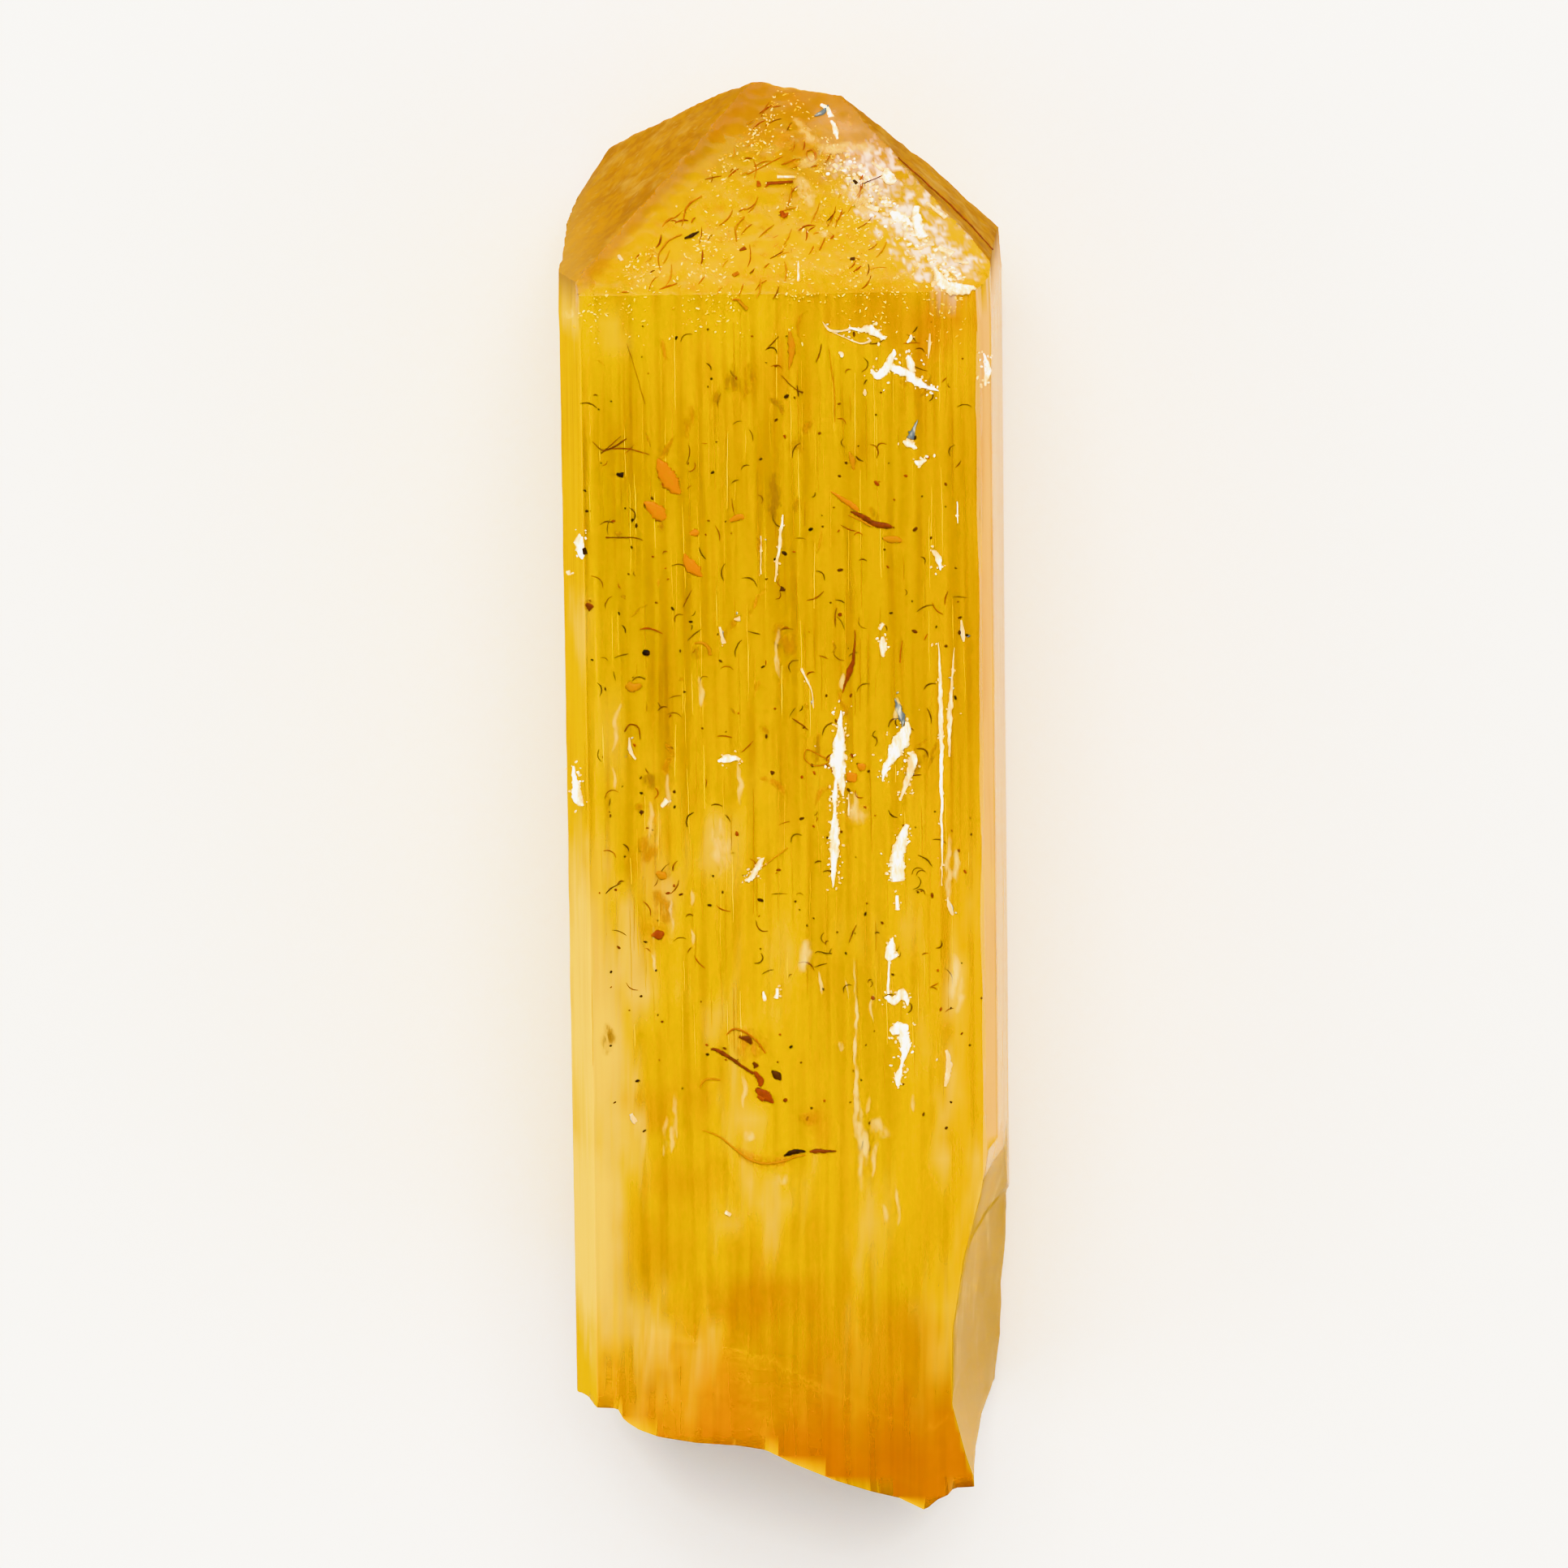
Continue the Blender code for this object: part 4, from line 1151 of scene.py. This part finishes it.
# small grains on the faces: every point carries its size, turn and tone
def grainTree(material, look):
    group, tree, given = newGeometryTree("skinGrains", look)
    ball = tree.add(
        "GeometryNodeMeshIcoSphere", None, {"Radius": 1.0, "Subdivisions": given.out("Subdivisions")}
    )
    turn = tree.add("FunctionNodeEulerToRotation", None, {0: tree.kept("turn", "FLOAT_VECTOR")})
    laid = {"Points": given, "Instance": ball, "Rotation": turn, "Scale": tree.kept("size", "FLOAT_VECTOR")}
    grains = tree.add("GeometryNodeInstanceOnPoints", None, laid)
    grains = tree.add("GeometryNodeRealizeInstances", None, {"Geometry": grains})
    place = tree.meshPlace()
    push = tree.vector("SUBTRACT", tree.noise(place, given.out("Grain"), 2.0).out("Color"), (0.5, 0.5, 0.5))
    push = tree.vector("SCALE", push, given.out("Ragged"))
    moved = {"Geometry": grains, "Offset": push}
    finishTree(tree, tree.add("GeometryNodeSetPosition", None, moved), material)
    return group


def sow(name, material, look, grains):
    kept = {"size": ("FLOAT_VECTOR", []), "turn": ("FLOAT_VECTOR", []), "tone": ("FLOAT", [])}
    places = []
    for place, size, turn, tone in grains:
        places.append(place)
        for label, value in (("size", size), ("turn", turn), ("tone", tone)):
            kept[label][1].append(value)
    item = newObject(name, pointMesh(name, places, [], kept))
    addTree(item, grainTree(material, look), look)
    finishPiece(item)


# dark specks on the front prism face, and pale flecks across the front end face: these flecks are painted
# glints
specks = {
    "number": 240, "across": (-5.0, 4.8), "along": (-8.0, 12.8), "half": (0.014, 0.034),
    "tone": (0.0, 0.5), "stretch": (1.0, 2.2), "big": 1.6, "bigEvery": 9, "below": 0.01, "seed": 5,
}
glintFlecks = {
    "number": 1500, "across": (-5.2, 4.8), "along": (12.0, 17.8), "half": (0.009, 0.025),
    "tone": (0.4, 1.15), "stretch": (1.2, 3.2), "shrink": (0.6, 1.0), "patch": 0.9, "thin": (-0.4, 0.4),
    "fadeIn": (12.0, 13.6), "faceEdge": 13.3, "below": {"end": 0.03, "front": 0.012}, "seed": 8,
}
goldenGlints = {
    **glintsAndEtching, "mottle": 0.4,
    "stops": (
        (0.3, (0.42, 0.20, 0.004)), (0.5, (0.70, 0.42, 0.01)), (0.75, (0.92, 0.66, 0.10)),
        (1.0, (0.96, 0.82, 0.35)),
    ),
}
grainShape = {"Subdivisions": 2, "Ragged": 0.03 * mm, "Grain": 16.0}


def flatGrain(pick, face, x, y, below, half, stretch):
    facing = faces[face][1]
    lean = Matrix.Rotation(math.atan2(-facing.y, facing.z), 3, "X")
    turn = (lean @ Matrix.Rotation(pick.uniform(0.0, math.pi), 3, "Z")).to_euler()
    size = (half * stretch * mm, half * mm, half * 0.5 * mm)
    return onFace(face, x, y, below), size, tuple(turn)


def darkSpecks(look):
    pick = random.Random(look["seed"])
    grains = []
    for number in range(look["number"]):
        half = draw(pick, look, "half") * (look["big"] if number % look["bigEvery"] == 0 else 1.0)
        x, y = draw(pick, look, "across", "along")
        if inSight(x, y):
            grain = flatGrain(pick, "front", x, y, look["below"], half, draw(pick, look, "stretch"))
            grains.append((*grain, draw(pick, look, "tone")))
    return grains


# pale flecks on the end face: painted glints
def paleGlintFlecks(look):
    pick = random.Random(look["seed"])
    grains = []
    while len(grains) < look["number"]:
        x, y = draw(pick, look, "across", "along")
        thick = noise.noise(Vector((x * look["patch"], y * look["patch"], 4.0))) > draw(pick, look, "thin")
        if inSight(x, y) and thick and y > draw(pick, look, "fadeIn"):
            face = "end" if y > look["faceEdge"] else "front"
            half = draw(pick, look, "half") * draw(pick, look, "shrink")
            grain = flatGrain(pick, face, x, y, look["below"][face], half, draw(pick, look, "stretch"))
            grains.append((*grain, draw(pick, look, "tone")))
    return grains


# small chips strewn along the white strokes, mostly the bigger and brighter ones: painted glints like the
# strokes themselves
glintChips = {
    "perMillimetre": 26, "half": (0.010, 0.030), "stretch": 1.6, "darker": 0.4, "below": 0.01,
    "bright": 0.7, "wide": 0.06, "fewer": 0.15, "spread": 0.03, "spreadShare": 0.8, "seed": 21,
}
# grains of the etched patch, along the right-hand ridge of the end
etchedGrains = {
    "number": 320, "top": (2.0, 16.2), "run": 2.9, "part": (-0.1, 1.0), "off": (-0.1, 0.28), "lean": 0.7,
    "lowest": 13.4, "below": 0.04, "half": (0.02, 0.06), "stretch": (1.0, 2.0), "tone": (0.4, 1.05),
}


def strewnGlintChips(pick, look):
    grains = []
    for tone, *line in glintStrokes:
        for (x, y, half), (nextX, nextY, nextHalf) in zip(line, line[1:]):
            big = tone > look["bright"] and half + nextHalf > look["wide"]
            share = 1.0 if big else look["fewer"]
            number = math.hypot(nextX - x, nextY - y) * look["perMillimetre"] * share
            for grain in range(round(number)):
                part = pick.random()
                spread = look["spread"] + (half + nextHalf) * look["spreadShare"]
                atX = x + (nextX - x) * part + pick.gauss(0.0, spread)
                atY = y + (nextY - y) * part + pick.gauss(0.0, spread)
                size = draw(pick, look, "half")
                grain = flatGrain(pick, "front", atX, atY, look["below"], size, look["stretch"])
                grains.append((*grain, pick.uniform(tone - look["darker"], tone)))
    return grains


def strewnEtching(pick, look):
    grains = []
    topX, topY = look["top"]
    for number in range(look["number"]):
        part, off = draw(pick, look, "part"), pick.gauss(*look["off"])
        atX = topX + look["run"] * part + off * look["lean"]
        atY = topY - look["run"] * part + off * look["lean"]
        if inSight(atX, atY) and atY > look["lowest"]:
            half, stretch = draw(pick, look, "half", "stretch")
            grain = flatGrain(pick, "end", atX, atY, look["below"], half, stretch)
            grains.append((*grain, draw(pick, look, "tone")))
    return grains


# chips along the painted glints, and the grains of the etched patch
glintChipPick = random.Random(glintChips["seed"])
glintAndEtchGrains = strewnGlintChips(glintChipPick, glintChips) + strewnEtching(glintChipPick, etchedGrains)
sow("scarChips", tonedMaterial("scarChip", glintsAndEtching), grainShape, glintAndEtchGrains)
sow("mineralSpecks", tonedMaterial("darkMineral", veins), grainShape, darkSpecks(specks))
# golden flecks on the end face: painted glints
sow("endFlecks", tonedMaterial("goldenChip", goldenGlints), grainShape, paleGlintFlecks(glintFlecks))


# floor, light and camera
studio = {
    "floorSize": 4.0,
    "floorColour": (0.80, 0.79, 0.77),
    "floorGap": 0.03 * mm,
    "horizon": (1.0, 0.98, 0.95),
    "zenith": (0.05, 0.05, 0.05),
    "worldStrength": 0.4,
    "horizonGlow": 0.45,
    "zenithFade": (0.25, 0.85),
    "horizonBand": (0.02, 0.14),
    "farGlow": (0.22, 0.85, 0.80),  # from and to, in metres, and how bright
}


def paleFloor(look):
    bpy.ops.mesh.primitive_plane_add(size=look["floorSize"], location=(0.0, 0.0, -look["floorGap"]))
    floor = bpy.context.object
    floor.name = "studioFloor"
    material, tree = newMaterial("palePaper")
    paper = {"Base Color": (*look["floorColour"], 1.0), "Roughness": 0.9, "Specular IOR Level": 0.1}
    near, far, bright = look["farGlow"]
    away = tree.vector("LENGTH", placeInMm(tree), output=1) * mm
    glow = tree.blend(away.rise(near, far), (0.0, 0.0, 0.0, 1.0), (bright, bright, bright * 0.97, 1.0))
    paper = {**paper, "Emission Color": glow, "Emission Strength": 1.0}
    sheet = tree.add("ShaderNodeBsdfPrincipled", None, paper)
    tree.add("ShaderNodeOutputMaterial", None, {"Surface": sheet})
    floor.data.materials.append(material)


def softWorld(look):
    world = bpy.data.worlds.new("softStudio")
    world.use_nodes = True
    world.node_tree.nodes.clear()
    tree = Tree(world.node_tree)
    way = tree.add("ShaderNodeTexCoord", None, None, "Generated")
    wx, wy, wz = tree.split(way)
    sky = tree.blend(wz.rise(*look["zenithFade"]), (*look["horizon"], 1.0), (*look["zenith"], 1.0))
    strength = look["worldStrength"] + (1.0 - wz.rise(*look["horizonBand"])) * look["horizonGlow"]
    glow = tree.add("ShaderNodeBackground", None, {"Color": sky, "Strength": strength})
    tree.add("ShaderNodeOutputWorld", None, {"Surface": glow})
    bpy.context.scene.world = world


# (name, place in metres, size, power in watts)
lamps = (
    ("softboxKey", (0.0, 0.30, 0.48), 0.40, 5.8),
    ("softboxLeft", (-0.45, -0.05, 0.30), 0.30, 1.3),
    ("softboxRight", (0.45, -0.10, 0.28), 0.30, 1.3),
)


def addLamp(name, place, size, power):
    lamp = bpy.data.lights.new(name, "AREA")
    lamp.shape = "SQUARE"
    lamp.size = size
    lamp.energy = power
    item = newObject(name, lamp)
    item.location = place
    item.rotation_euler = (-Vector(place)).to_track_quat("-Z", "Y").to_euler()


view = {
    "aim": (-0.129, 0.419, 7.411),
    "distance": 264.0,
    "tilt": 12.0,  # from straight above, towards the faceted end
    "roll": 0.73,
    "lens": 240.0,
    "clip": (0.01, 20.0),
}


def addCamera(look):
    tilt, roll = math.radians(look["tilt"]), math.radians(look["roll"])
    back = Vector((0.0, math.sin(tilt), math.cos(tilt)))
    top = Vector((0.0, math.cos(tilt), -math.sin(tilt)))
    side = Vector((1.0, 0.0, 0.0))
    right = side * math.cos(roll) - top * math.sin(roll)
    up = top * math.cos(roll) + side * math.sin(roll)
    camera = bpy.data.cameras.new("camera")
    camera.lens = look["lens"]
    camera.clip_start, camera.clip_end = look["clip"]
    item = newObject("camera", camera)
    turn = Matrix((right, up, back)).transposed().to_4x4()
    item.matrix_world = Matrix.Translation((Vector(look["aim"]) + back * look["distance"]) * mm) @ turn
    bpy.context.scene.camera = item


paleFloor(studio)
softWorld(studio)
for lamp in lamps:
    addLamp(*lamp)
addCamera(view)
bpy.context.scene.view_settings.view_transform = "Khronos PBR Neutral"
print("studio ready")
